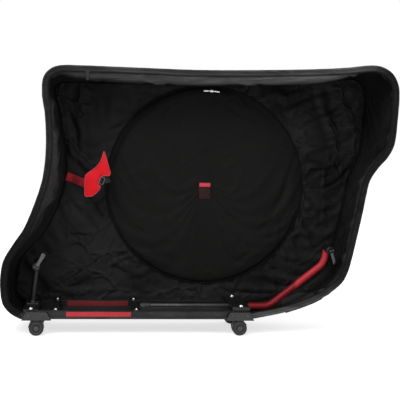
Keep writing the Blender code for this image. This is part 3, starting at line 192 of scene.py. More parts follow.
def buildScuffGroup():  # thin scratches: stretched noise kept only near its highest values
    tree, given, out = newGroup("scuffMarks", {"Vector": "Vector", "Scale": 30.0, "Amount": 0.3},
                                {"Mask": "Float"})
    turned = addMapping(tree, given["Vector"], Rotation=(0.3, 0.5, 0.4), Scale=(1.0, 7.0, 3.0))
    high = mapRange(tree, addNoise(tree, turned, given["Scale"], 4.0, Roughness=0.7),
                    From_Min=0.58, From_Max=0.78)
    feed(tree, out["Mask"], addMath(tree, "MULTIPLY", high, given["Amount"]))
    return tree


def buildCreaseGroup():  # crushed cloth: ridges where warped cells meet, kept in patches
    tree, given, out = newGroup("crushedFolds", {"Vector": "Vector", "Scale": 12.0, "Width": 0.16},
                                {"Height": "Float"})
    warpScale, patchScale = (addMath(tree, "MULTIPLY", given["Scale"], k) for k in (0.8, 0.45))
    moved = addMath(tree, "MULTIPLY_ADD", addNoise(tree, given["Vector"], warpScale, 3.0, "Color"),
                    (0.09, 0.09, 0.09), given["Vector"], kind="VectorMath")
    cells = addNode(tree, "TexVoronoi", {"feature": "DISTANCE_TO_EDGE"}, Vector=moved,
                    Scale=given["Scale"]).outputs["Distance"]
    ridge = mapRange(tree, cells, {"interpolation_type": "SMOOTHERSTEP"},
                     From_Max=given["Width"], To_Min=1.0, To_Max=0.0)
    kept = mapRange(tree, addNoise(tree, given["Vector"], patchScale), From_Min=0.38, From_Max=0.62)
    feed(tree, out["Height"], addMath(tree, "MULTIPLY", ridge, kept))
    return tree


weaveGroup, toneGroup, scuffGroup = buildWeaveGroup(), buildToneGroup(), buildScuffGroup()
creaseGroup = buildCreaseGroup()


def paintedLightStreaks(tree, place):  # painted light: the "nap" attribute, broken up by streaks drawn out along X into painted sheen
    streaks = addNoise(tree, addMapping(tree, place, Scale=(7.0, 40.0, 40.0)), 1.0, 4.0,
                       Roughness=0.6, Distortion=1.2)
    share = mapRange(tree, streaks, From_Min=0.32, From_Max=0.68, To_Min=0.35, To_Max=1.25)
    nap = addNode(tree, "Attribute", {"attribute_name": "nap"}).outputs["Fac"]
    return addMath(tree, "MULTIPLY", nap, share)


# Materials: each has a cloudy tone, and where its look says so, painted light or scuffs
shaderKeys = {"roughness": "Roughness", "metallic": "Metallic", "specular": "Specular IOR Level",
              "sheen": "Sheen Weight", "sheenRoughness": "Sheen Roughness"}


def startMaterial(name, look):
    material = bpy.data.materials.new(name)
    material.use_nodes = True
    tree = material.node_tree
    shader = tree.nodes["Principled BSDF"].inputs
    for key, label in shaderKeys.items():
        if key in look:
            shader[label].default_value = look[key]
    spots = addNode(tree, "TexCoord").outputs
    place = spots["Object"]
    tone = placeGroup(tree, toneGroup, Vector=place, Colour=look["colour"],
                      Light_Colour=look["lightColour"], Scale=look["patchScale"])
    colour = tone["Colour"]
    # painted light: napColour is mixed in as far as the nap attribute says
    if "napColour" in look:
        colour = mixColours(tree, paintedLightStreaks(tree, place), colour, look["napColour"])
    if "lowColour" in look:  # another colour behind a place along X
        across = addNode(tree, "SeparateXYZ", Vector=place).outputs[0]
        past = mapRange(tree, across, From_Min=look["lowEnds"], From_Max=look["lowEnds"] + 0.012)
        colour = mixColours(tree, past, look["lowColour"], colour)
    if "scuffs" in look:
        marks = placeGroup(tree, scuffGroup, Vector=place, Scale=look["scuffScale"],
                           Amount=look["scuffs"])
        colour = mixColours(tree, marks["Mask"], colour, look["scuffColour"])
    return tree, shader, spots, colour, tone["Mask"]


def clothMaterial(name, look):  # weave over a crumple over sharp creases
    tree, shader, spots, colour, _ = startMaterial(name, look)
    place = spots["Object"]
    feed(tree, shader["Base Color"], colour)
    crease = placeGroup(tree, creaseGroup, Vector=place, Scale=look["creaseScale"],
                        Width=look["creaseWidth"])
    folds = addBump(tree, crease["Height"], look["creaseDepth"], look["creaseStrength"])
    crumple = addNoise(tree, place, look["crumpleScale"], 4.0, Roughness=0.6)
    low = addBump(tree, crumple, look["crumpleDepth"], look["crumpleStrength"], folds)
    weave = placeGroup(tree, weaveGroup, Vector=spots[look["coordinates"]], Pitch=look["pitch"])
    feed(tree, shader["Normal"], addBump(tree, weave["Height"], look["weaveDepth"],
                                         look["weaveStrength"], low))


def webbingMaterial(name, look):  # ribs along the strap crossed by a fine diagonal
    tree, shader, spots, colour, _ = startMaterial(name, look)
    parts = addNode(tree, "SeparateXYZ", Vector=spots["UV"]).outputs
    along = addMath(tree, "MULTIPLY", parts[0], math.tau / look["threadPitch"])
    ribs = addMath(tree, "SINE", addMath(tree, "MULTIPLY", parts[1], math.tau / look["ribPitch"]))
    slant = addMath(tree, "SINE", addMath(tree, "ADD", along, addMath(tree, "MULTIPLY", ribs, 1.4)))
    height = addMath(tree, "ADD", addMath(tree, "MULTIPLY", ribs, 0.5),
                     addMath(tree, "MULTIPLY", slant, 0.5))
    # the colour darkens to 0.72 in the weave's hollows: painted shade
    shade = mapRange(tree, height, From_Min=-1.0, To_Min=0.72)
    feed(tree, shader["Base Color"], addMath(tree, "SCALE", colour, None, None, shade,
                                             kind="VectorMath"))
    feed(tree, shader["Normal"], addBump(tree, height, look["depth"], 0.7))


def plasticMaterial(name, look):  # a fine grain, and duller where the tone is light
    tree, shader, spots, colour, mask = startMaterial(name, look)
    feed(tree, shader["Base Color"], colour)
    feed(tree, shader["Roughness"], mapRange(tree, mask, To_Min=look["roughness"] - 0.06,
                                             To_Max=look["roughness"] + 0.08))
    grain = addNoise(tree, spots["Object"], look["grainScale"])
    feed(tree, shader["Normal"], addBump(tree, grain, look["grainDepth"], 0.5))


def metalMaterial(name, look):  # the brushing is noise drawn out along one axis
    tree, shader, spots, colour, _ = startMaterial(name, look)
    feed(tree, shader["Base Color"], colour)
    lines = addNoise(tree, addMapping(tree, spots["Object"], Scale=look["drawn"]), 1.0, 3.0)
    feed(tree, shader["Roughness"], mapRange(tree, lines, To_Min=look["roughness"] - 0.08,
                                             To_Max=look["roughness"] + 0.1))
    feed(tree, shader["Normal"], addBump(tree, lines, 0.0002, look["brushing"]))


def grey(level, blue=None):
    return level, level, level if blue is None else blue


def finish(colour, lightColour, **more):  # its two tones, and what differs from its kind
    return dict(colour=colour, lightColour=lightColour, **more)


# Finishes, each over the values that its kind shares
clothBase = dict(coordinates="UV", roughness=0.55, patchScale=5.0, pitch=0.0011,
                 crumpleScale=9.0, crumpleDepth=0.005, crumpleStrength=0.6, weaveDepth=0.0003,
                 weaveStrength=0.35, sheen=0.015, sheenRoughness=0.45, specular=0.07,
                 creaseScale=13.0, creaseWidth=0.17, creaseDepth=0.004, creaseStrength=0.55)
cloths = {
    "outerCloth": finish(grey(0.008, 0.0082), grey(0.013, 0.0133), specular=0.16),
    # The linings' napColour is painted light; edgeLining is a lit copy of wallLining, a little
    # lighter, with a stronger napColour
    "edgeLining": finish(grey(0.008, 0.0082), grey(0.015, 0.0154),
                         crumpleStrength=0.9, creaseStrength=0.9, napColour=grey(0.27, 0.272)),
    "wallLining": finish(grey(0.0065, 0.0067), grey(0.014, 0.0143),
                         roughness=0.5, creaseStrength=0.9, napColour=grey(0.18, 0.182)),
    "panelLining": finish(grey(0.0052, 0.0053), grey(0.016, 0.0164),
                          roughness=0.5, creaseStrength=0.95, napColour=grey(0.18, 0.182)),
    "pocketCloth": finish(grey(0.0034, 0.0032), grey(0.0058, 0.0055),
                          pitch=0.0016, crumpleStrength=0.25, creaseStrength=0.4),
    "redPadCloth": finish((0.58, 0.007, 0.014), (0.68, 0.013, 0.022),
                          coordinates="Object", pitch=0.0014, crumpleScale=60.0,
                          crumpleDepth=0.001, patchScale=20.0, creaseDepth=0.0012,
                          creaseScale=40.0, creaseStrength=0.3, sheen=0.0, specular=0.1),
}
webbingBase = dict(roughness=0.7, threadPitch=0.0032, ribPitch=0.0034, depth=0.0004,
                   patchScale=30.0, sheen=0.06, specular=0.25)
webbings = {
    "redWebbing": finish((0.38, 0.010, 0.020), (0.48, 0.018, 0.032)),
    # padTrim: paler red, partly real trim tape and partly painted highlight; on the tab's fold it
    # is painted light
    "padTrim": finish((0.56, 0.035, 0.05), (0.68, 0.08, 0.10), roughness=0.6, threadPitch=0.0022,
                      ribPitch=0.0026, depth=0.0003, sheen=0.02),
    # maroonWebbing: a darkened copy of the red webbing, painted shade for the tab's tail
    "maroonWebbing": finish((0.022, 0.009, 0.008), (0.036, 0.014, 0.012),
                            sheen=0.02, specular=0.12),
    "blackWebbing": finish(grey(0.008, 0.0082), grey(0.015, 0.0154)),
    # bindingTape's napColour is painted light, lifting the binding and zip tape along the edge
    # strip
    "bindingTape": finish(grey(0.0035, 0.0036), grey(0.0070, 0.0072),
                          threadPitch=0.0022, ribPitch=0.0025, depth=0.0003, sheen=0.01,
                          specular=0.06, napColour=grey(0.14, 0.141)),
    # seamCord: near-black, darker than the cloth; round the wheel pocket this darkness is painted
    # shade for the crease at its edge
    "seamCord": finish(grey(0.003, 0.0031), grey(0.006, 0.0062),
                       threadPitch=0.002, depth=0.0002, sheen=0.01, specular=0.06),
}
plasticBase = dict(roughness=0.5, patchScale=12.0, scuffScale=24.0, scuffs=0.3,
                   scuffColour=grey(0.12), grainScale=900.0, grainDepth=0.0002, specular=0.3)
plastics = {
    "blackPlastic": finish(grey(0.010, 0.0103), grey(0.017, 0.0174)),
    "greyPlastic": finish(grey(0.022, 0.0225), grey(0.036, 0.037)),
    "buckleGrey": finish(grey(0.055, 0.057), grey(0.08, 0.082), roughness=0.4),
    "castorGrey": finish(grey(0.024, 0.0246), grey(0.040, 0.041), roughness=0.4),
    "tyreGrey": finish(grey(0.011, 0.0113), grey(0.019, 0.0195), roughness=0.6, scuffs=0.4,
                       scuffColour=grey(0.07)),
    "zipNylon": finish(grey(0.0035, 0.0036), grey(0.007, 0.0072), scuffs=0.05, roughness=0.6,
                       specular=0.06),
    "threadBlack": finish(grey(0.006, 0.0062), grey(0.011, 0.0113),
                          roughness=0.75, scuffs=0.0, specular=0.08),
    "threadRed": finish((0.5, 0.02, 0.03), (0.6, 0.03, 0.05), roughness=0.75, scuffs=0.0),
}
metalBase = dict(roughness=0.3, metallic=1.0, drawn=(12.0, 900.0, 900.0), scuffScale=20.0,
                 scuffs=0.25, patchScale=14.0, brushing=0.25, specular=0.5)
metals = {
    "blackAnodised": finish(grey(0.014, 0.0149), grey(0.025, 0.0262),
                            scuffColour=grey(0.14), metallic=0.7, roughness=0.38),
    "redAnodised": finish((0.38, 0.013, 0.021), (0.46, 0.021, 0.030),
                          scuffColour=(0.6, 0.26, 0.26), metallic=0.35, roughness=0.42),
    # dimRed: a darkened copy of redAnodised, painted shade for the far rail's insert
    "dimRed": finish((0.15, 0.007, 0.011), (0.19, 0.011, 0.015),
                     scuffColour=(0.25, 0.10, 0.10), metallic=0.35, roughness=0.42),
    "redPaint": finish((0.43, 0.020, 0.030), (0.52, 0.032, 0.042),
                       scuffColour=(0.45, 0.14, 0.14), metallic=0.0, roughness=0.42,
                       brushing=0.05, specular=0.2, lowColour=(0.19, 0.005, 0.011),
                       lowEnds=0.352),
    "darkSteel": finish(grey(0.055, 0.057), grey(0.085, 0.088),
                        scuffColour=grey(0.3), drawn=(300.0, 300.0, 300.0)),
    "brightSteel": finish(grey(0.62, 0.63), grey(0.76, 0.77),
                          scuffColour=grey(0.5), roughness=0.22, drawn=(300.0, 300.0, 300.0)),
}
for make, base, looks in ((clothMaterial, clothBase, cloths),
                          (plasticMaterial, plasticBase, plastics),
                          (webbingMaterial, webbingBase, webbings),
                          (metalMaterial, metalBase, metals)):
    for name, look in looks.items():
        make(name, {**base, **look})
finishes = bpy.data.materials
print("materials made")


# Mesh helpers
def gridQuads(rows, cols, wrapRows=False, wrapCols=False):  # quads between neighbouring points
    row = np.arange(rows if wrapRows else rows - 1)[:, None]
    col = np.arange(cols if wrapCols else cols - 1)[None, :]
    nextRow, nextCol = (row + 1) % rows, (col + 1) % cols
    corners = [row * cols + col, row * cols + nextCol, nextRow * cols + nextCol,
               nextRow * cols + col]
    return np.stack(np.broadcast_arrays(*corners), axis=-1).reshape(-1, 4)


def cappedQuads(rows, cols):  # quads of a tube with a face over each end
    return gridQuads(rows, cols, False, True).tolist() + [
        list(range(cols))[::-1], [(rows - 1) * cols + k for k in range(cols)]]


def joinShapes(shapes):  # several (verts, faces, uv) in one, where a uv may be None
    verts, faces, uvs, count = [], [], [], 0
    for shapeVerts, shapeFaces, shapeUv in shapes:
        verts.append(shapeVerts)
        uvs.append(np.zeros((len(shapeVerts), 2)) if shapeUv is None else shapeUv)
        faces += [[int(i) + count for i in face] for face in shapeFaces]
        count += len(shapeVerts)
    return np.vstack(verts), faces, np.vstack(uvs)


def addObject(name, mesh, body, stands, sharp):  # smooth, with creases past an angle
    mesh.shade_smooth()
    mesh.set_sharp_from_angle(angle=math.radians(sharp))
    piece = bpy.data.objects.new(name, mesh)
    scene.collection.objects.link(piece)
    if stands:
        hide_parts(*stands.split())
    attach(piece, body)
    return piece


def makePiece(name, shapes, looks, stands="", body="bag", closed=True, sharp=40.0,
              faceLooks=None):
    # one object from (verts, faces, uv) shapes; stands names the CAD nodes that it replaces
    verts, faces, uv = joinShapes(shapes)
    mesh = bpy.data.meshes.new(name)
    mesh.from_pydata(verts.tolist(), [], faces)
    if any(shape[2] is not None for shape in shapes):
        layer = mesh.uv_layers.new(name="UVMap")
        index = np.zeros(len(mesh.loops), int)
        mesh.loops.foreach_get("vertex_index", index)
        layer.data.foreach_set("uv", uv[index].ravel())
    for look in looks.split():
        mesh.materials.append(finishes[look])
    if faceLooks is not None:
        mesh.polygons.foreach_set("material_index", faceLooks)
    if closed:
        shape = bmesh.new()
        shape.from_mesh(mesh)
        bmesh.ops.remove_doubles(shape, verts=shape.verts, dist=1e-6)
        bmesh.ops.recalc_face_normals(shape, faces=shape.faces)
        shape.to_mesh(mesh)
        shape.free()
    return addObject(name, mesh, body, stands, sharp)


def softened(node, look, width, body="bag", angle=30.0):
    # a copy of a CAD solid, merged, with its edges rounded
    mesh = frame["nodes"][node].data.copy()
    shape = bmesh.new()
    shape.from_mesh(mesh)
    bmesh.ops.remove_doubles(shape, verts=shape.verts, dist=1e-5)
    bmesh.ops.dissolve_limit(shape, angle_limit=math.radians(1.0), verts=shape.verts,
                             edges=shape.edges)
    shape.to_mesh(mesh)
    shape.free()
    mesh.materials.clear()
    mesh.materials.append(finishes[look])
    piece = addObject(node + "_finished", mesh, body, node, 50.0)
    bevel = piece.modifiers.new("roundedEdges", "BEVEL")
    bevel.width, bevel.segments, bevel.limit_method = width, 2, "ANGLE"
    bevel.angle_limit = math.radians(angle)
    bevel.miter_outer = "MITER_ARC"


def pathFrames(path, up, closed=False):
    # the tangent by central differences, and the side as tangent cross up
    run = np.roll(path, -1, 0) - np.roll(path, 1, 0) if closed else np.gradient(path, axis=0)
    run = unitRows(run)
    side = unitRows(np.cross(run, np.broadcast_to(np.asarray(up, float), path.shape)))
    return run, side, np.cross(side, run)


def sweep(path, profile, up, closed=False, size=1.0):
    # a closed profile carried along a path: point = path + a * side + b * up
    path = np.asarray(path, float)
    _, side, lift = pathFrames(path, up, closed)
    scaled = profile[None] * np.broadcast_to(size, len(path))[:, None, None]
    verts = path[:, None] + scaled[..., :1] * side[:, None] + scaled[..., 1:] * lift[:, None]
    rows, cols = len(path), len(profile)
    faces = gridQuads(rows, cols, True, True) if closed else cappedQuads(rows, cols)
    around = np.linalg.norm(np.roll(profile, -1, 0) - profile, axis=1)
    around = np.concatenate([[0], np.cumsum(around)[:-1]])
    uv = np.stack(np.meshgrid(reachAlong(path), around, indexing="ij"), axis=-1)
    return verts.reshape(-1, 3), faces, uv.reshape(-1, 2)


def circleProfile(radius, sides=16, squash=1.0):  # (r * cos, r * squash * sin)
    turn = circle(sides)
    return np.stack([radius * np.cos(turn), radius * squash * np.sin(turn)], axis=1)


def bandProfile(width, thickness, rounding=0.45, steps=4):  # a flat band with rounded edges
    radius = thickness * rounding
    turn = np.linspace(0, math.pi / 2, steps + 1)
    corner = np.stack([np.cos(turn), np.sin(turn)], axis=1) * radius
    half = np.array([width / 2 - radius, thickness / 2 - radius])
    return np.vstack([((corner[::-1] if k % 2 else corner) + half) * np.array(sign)
                      for k, sign in enumerate(((1, 1), (-1, 1), (-1, -1), (1, -1)))])


def tube(path, radius, sides, up, **more):  # a round profile carried along a path
    return sweep(path, circleProfile(radius, sides), up, **more)


def ribbon(path, band, up, **more):  # a flat band carried along a path
    return sweep(path, bandProfile(*band), up, **more)


def squareCircle(steps, power):  # a circle pushed towards a square: sign(c) * |c| ** power
    turn = circle(steps)
    return [np.sign(c) * np.abs(c) ** power for c in (np.cos(turn), np.sin(turn))]


def lathe(profile, centre, axis, steps=48, hint=upWay, closed=False, wave=None):
    # (radius, height) turned about an axis; wave gives each row's radius by angle
    profile, axis = np.asarray(profile, float), unitRows(np.asarray(axis, float))
    side = unitRows(np.cross(np.asarray(hint, float), axis))
    turn = circle(steps)
    ring = np.cos(turn)[:, None] * side + np.sin(turn)[:, None] * np.cross(axis, side)
    radius = np.broadcast_to(profile[:, :1], (len(profile), steps))
    if wave is not None:
        radius = wave(radius, turn)
    verts = (np.asarray(centre, float) + radius[..., None] * ring[None]
             + profile[:, 1][:, None, None] * axis)
    return verts.reshape(-1, 3), gridQuads(len(profile), steps, closed, True), None


def repeatShape(unitVerts, unitFaces, origins, axes):
    # copies one small shape: each copy is origin + shape in that copy's own three axes
    verts = origins[:, None] + np.einsum("kc,ncd->nkd", unitVerts, axes)
    faces = np.asarray(unitFaces)[None] + (np.arange(len(origins)) * len(unitVerts))[:, None, None]
    return verts.reshape(-1, 3), faces.reshape(-1, len(unitFaces[0])), None


def atPlaces(values, reach, places):  # each column of values at new distances
    return np.stack([np.interp(places, reach, values[:, k]) for k in range(3)], axis=1)


def ringStack(rings, outline):  # rows of one outline: (place along, half width, half depth)
    rings, outline = np.array(rings, float)[:, None], np.array(outline, float)[None]
    along = np.broadcast_to(rings[..., :1], (len(rings), outline.shape[1], 1))
    return np.concatenate([along, rings[..., 1:] * outline], axis=-1).reshape(-1, 3)


def unmapped(shape):  # without its UV places
    return shape[0], shape[1], None


threadSet = {"pitch": 0.0042, "length": 0.0030, "radius": 0.00035, "lift": 0.0002}


def stitchRow(path, up, pitch=threadSet["pitch"]):
    # short thread humps laid end to end along a path
    path, up = np.asarray(path, float), np.asarray(up, float)
    reach = reachAlong(path)
    places = np.arange(pitch, reach[-1] - pitch, pitch)
    centre = atPlaces(path, reach, places)
    if up.ndim > 1:
        up = unitRows(atPlaces(up, reach, places))
    axes = pathFrames(centre, up)
    along = np.linspace(-0.5, 0.5, 4)
    thick = threadSet["radius"] * (np.cos(along * math.pi) * 0.7 + 0.3)[:, None]
    ring = circleProfile(1.0, 5)
    unit = np.stack([np.broadcast_to((along * threadSet["length"])[:, None], (4, 5)),
                     ring[:, 0] * thick, ring[:, 1] * thick + thick * 0.4], axis=-1)
    return repeatShape(unit.reshape(-1, 3), gridQuads(4, 5, False, True),
                       centre + axes[2] * threadSet["lift"], np.stack(axes, axis=1))


def addSolidify(piece, thickness):  # inwards, and the inner face takes the lining
    modifier = piece.modifiers.new("thickness", "SOLIDIFY")
    modifier.thickness = thickness
    modifier.offset = -1.0
    modifier.material_offset = 1
    modifier.material_offset_rim = 0
    modifier.use_even_offset = False


def pointsOf(mesh):  # its vertices as rows
    spots = np.zeros(len(mesh.vertices) * 3)
    mesh.vertices.foreach_get("co", spots)
    return spots.reshape(-1, 3)


def setPaintedLight(piece, values):  # painted light: how strongly the lit colour is painted on, by point
    full = np.zeros(len(piece.data.vertices))
    count = min(len(full), len(values))
    full[:count] = values[:count]
    piece.data.attributes.new("nap", "FLOAT", "POINT").data.foreach_set("value", full)


settling = dict(quality=4, stretch=8.0, bending=0.4, slack=0.035, gravity=0.4, pressure=0.0,
                frames=14, cap=0.006, mass=0.25, air=2.0)


def settleCloth(piece, pinned, **changes):
    # the cloth is stepped with its sewn edges held, and no point moves further than the cap
    values = {**settling, **changes}
    mesh = piece.data
    before = pointsOf(mesh)
    group = piece.vertex_groups.new(name="sewn")
    group.add(np.flatnonzero(pinned).tolist(), 1.0, "REPLACE")
    modifier = piece.modifiers.new("Cloth", "CLOTH")
    cloth = modifier.settings
    cloth.quality = values["quality"]
    cloth.mass = values["mass"]
    cloth.tension_stiffness = cloth.compression_stiffness = values["stretch"]
    cloth.shear_stiffness = values["stretch"] / 3
    cloth.bending_stiffness = values["bending"]
    cloth.air_damping = values["air"]
    cloth.vertex_group_mass = "sewn"
    cloth.shrink_min = -values["slack"]
    cloth.effector_weights.gravity = values["gravity"]
    cloth.use_pressure = values["pressure"] > 0
    cloth.uniform_pressure_force = values["pressure"]
    modifier.collision_settings.use_collision = False
    for number in range(1, values["frames"] + 1):
        scene.frame_set(number)
    move = pointsOf(piece.evaluated_get(bpy.context.evaluated_depsgraph_get()).data) - before
    piece.modifiers.remove(modifier)
    scene.frame_set(1)
    move[~np.isfinite(move).all(axis=1)] = 0.0
    reach, cap = np.linalg.norm(move, axis=1, keepdims=True), values["cap"]
    move = move * np.where(reach > 1e-9, cap * np.tanh(reach / cap) / np.maximum(reach, 1e-9), 0.0)
    move[pinned] = 0.0
    mesh.vertices.foreach_set("co", (before + move).ravel())
    mesh.update()
    piece.vertex_groups.remove(group)


# The bag's sizes, the pocket's place on its far panel, and how finely its outline is cut
bag = {
    "length": 1.315, "height": 0.865, "clearance": 0.055, "halfBase": 0.130, "halfFront": 0.185,
    "wall": 0.0042, "edgeRadius": 0.010, "inset": 0.0625, "sag": 0.012, "setback": 0.0083,
    "pocketX": 0.045, "pocketZ": 0.4968, "pocketRadius": 0.350, "samples": 10,
    "baseSamples": 50, "acrossSamples": 44,
}
# By point of the outline: how much of the wall's depth its edge strip takes, and how strongly
# painted light lifts the strip
edgeStrip = np.array([
    (0.50, 0.10), (0.48, 0.08), (0.46, 0.06), (0.45, 0.05), (0.45, 0.05), (0.45, 0.05),
    (0.45, 0.06), (0.45, 0.08), (0.50, 0.12), (0.56, 0.18), (0.60, 0.22), (0.62, 0.24),
    (0.60, 0.24), (0.55, 0.22), (0.46, 0.20), (0.38, 0.20), (0.42, 0.26), (0.56, 0.38),
    (0.70, 0.55), (0.76, 0.62), (0.78, 0.72), (0.78, 0.85), (0.74, 0.95), (0.50, 0.80),
    (0.18, 0.30), (0.14, 0.12), (0.14, 0.10), (0.15, 0.10), (0.18, 0.10), (0.24, 0.10),
    (0.34, 0.10), (0.42, 0.10), (0.45, 0.12), (0.45, 0.14), (0.45, 0.16), (0.45, 0.18),
    (0.46, 0.14), (0.48, 0.12), (0.48, 0.18), (0.45, 0.45), (0.38, 0.95), (0.34, 1.00),
    (0.32, 1.00), (0.32, 0.90),
])
rimShares = np.array([
    (-0.4490, 0.000, 0.00, 0.0), (-0.4760, 0.025, 0.10, 0.2), (-0.4935, 0.062, 0.25, 0.5),
    (-0.5000, 0.125, 0.40, 0.6), (-0.4985, 0.180, 0.50, 0.5), (-0.4910, 0.230, 0.60, 0.4),
    (-0.4680, 0.290, 0.75, 0.2), (-0.4420, 0.351, 0.90, 0.0), (-0.4175, 0.443, 1.00, -0.3),
    (-0.3990, 0.535, 1.00, -0.5), (-0.3915, 0.625, 0.85, -0.5), (-0.3910, 0.715, 0.62, -0.5),
    (-0.3955, 0.808, 0.52, -0.4), (-0.4015, 0.865, 0.42, -0.2), (-0.4000, 0.917, 0.38, 0.0),
    (-0.3860, 0.951, 0.45, 0.0), (-0.3580, 0.970, 0.50, -0.2), (-0.3000, 0.9722, 0.50, -0.5),
    (-0.1640, 0.9700, 0.45, -0.7), (-0.0200, 0.9678, 0.42, -0.8), (0.1190, 0.9725, 0.38, -0.8),
    (0.2780, 0.980, 0.38, -0.6), (0.3600, 0.989, 0.36, -0.3), (0.4190, 1.000, 0.30, 0.0),
    (0.4520, 0.996, 0.20, 0.2), (0.4800, 0.972, 0.12, 0.3), (0.4960, 0.930, 0.10, 0.3),
    (0.5000, 0.880, 0.10, 0.3), (0.4975, 0.790, 0.10, 0.2), (0.4920, 0.703, 0.10, 0.0),
    (0.4770, 0.652, -0.10, 0.0), (0.4515, 0.606, -0.35, 0.0), (0.4330, 0.558, -0.45, 0.0),
    (0.4265, 0.500, -0.38, 0.0), (0.4205, 0.414, -0.20, 0.0), (0.4110, 0.318, -0.08, 0.0),
    (0.3980, 0.225, 0.00, 0.2), (0.3880, 0.178, 0.05, 0.3), (0.3740, 0.143, 0.10, 0.5),
    (0.3430, 0.104, 0.10, 0.7), (0.3000, 0.067, 0.05, 0.9), (0.2300, 0.030, 0.00, 1.0),
    (0.1580, 0.007, 0.00, 0.4), (0.1320, 0.000, 0.00, 0.0),
])


def curveThrough(points, samples):  # Catmull-Rom: each span's cubic from four neighbours
    points = np.asarray(points, float)
    padded = np.vstack([2 * points[0] - points[1], points, 2 * points[-1] - points[-2]])
    a, b, c, d = padded[:-3, None], padded[1:-2, None], padded[2:-1, None], padded[3:, None]
    share = np.linspace(0, 1, samples, endpoint=False)[None, :, None]
    curve = b + share * ((c - a) / 2 + share * ((a - 2.5 * b + 2 * c - d / 2)
                                                + share * ((d - a) / 2 + 1.5 * (b - c))))
    return np.vstack([curve.reshape(-1, points.shape[1]), points[-1:]])


def smoothStep(value):  # v * v * (3 - 2 * v), held between 0 and 1
    value = np.clip(value, 0.0, 1.0)
    return value * value * (3 - 2 * value)


def fromPocket(flat):  # distance from the wheel pocket's middle
    return np.linalg.norm(flat - np.array([bag["pocketX"], bag["pocketZ"]]), axis=-1)


def halfWidth(flat):  # even round the pocket, and wider towards the upper front
    share = (smoothStep((fromPocket(flat) - bag["pocketRadius"] - 0.015) / 0.2)
             * smoothStep(flat[..., 0] / 0.3) * smoothStep((flat[..., 1] - 0.3) / 0.28))
    return bag["halfBase"] + (bag["halfFront"] - bag["halfBase"]) * share


def outwardOf(loop):  # a quarter turn from the run of a closed loop
    run = unitRows(np.roll(loop, -1, 0) - np.roll(loop, 1, 0))
    return np.stack([-run[:, 1], run[:, 0]], axis=1)


def inSpace(flat, depth):  # points (x, z) at a depth, as (x, depth, z)
    return np.stack([flat[..., 0], np.broadcast_to(depth, flat.shape[:-1]), flat[..., 1]], axis=-1)


outline = rimShares * np.array([bag["length"], bag["height"], bag["inset"], bag["sag"]])
outline[:, 1] += bag["clearance"]
rimPart = curveThrough(outline, bag["samples"])
rimCount = len(rimPart)
baseShare = np.linspace(0, 1, bag["baseSamples"] + 1)[1:-1, None]
loopRows = np.vstack([rimPart, rimPart[-1] * (1 - baseShare) + rimPart[0] * baseShare])
loopCount = len(loopRows)
rim = loopRows[:, :2]
rimOut = outwardOf(rim)
rimLift = inSpace(rimOut, 0.0)
farLoop = rim - rimOut * loopRows[:, 2:3]
farOut = outwardOf(farLoop)
farEdge = farLoop - farOut * bag["edgeRadius"]
nearY = -halfWidth(rim)
farY = halfWidth(farEdge)
rimReach = reachAlong(rim)
pointPlace = np.minimum(np.arange(loopCount) / bag["samples"], len(edgeStrip) - 1.0)
strip = np.stack([np.interp(pointPlace, np.arange(len(edgeStrip)), edgeStrip[:, k])
                  for k in (0, 1)], axis=1)
spread = np.hanning(13)[:, None] / np.hanning(13).sum()
strip = sum(np.roll(strip, k - 6, axis=0) * spread[k] for k in range(13))


def foldField(across, along, folds):
    # each fold is a furrow with a ridge on either side, fading out towards its ends
    total = np.zeros(across.shape)
    for x0, z0, x1, z1, width, depth in folds:
        run = np.array([x1 - x0, z1 - z0])
        size = np.linalg.norm(run)
        run = run / size
        dx, dz = across - x0, along - z0
        share = (dx * run[0] + dz * run[1]) / size
        off = -dx * run[1] + dz * run[0]
        off = off + 0.25 * width * np.sin(share * 7.0 + x0 * 40)
        fade = smoothStep((share + 0.15) / 0.35) * smoothStep((1.15 - share) / 0.35)
        shape = np.exp(-(off / width) ** 2) - 0.55 * np.exp(-((np.abs(off) - 1.9 * width)
                                                               / (1.1 * width)) ** 2)
        total += depth * fade * shape
    return total


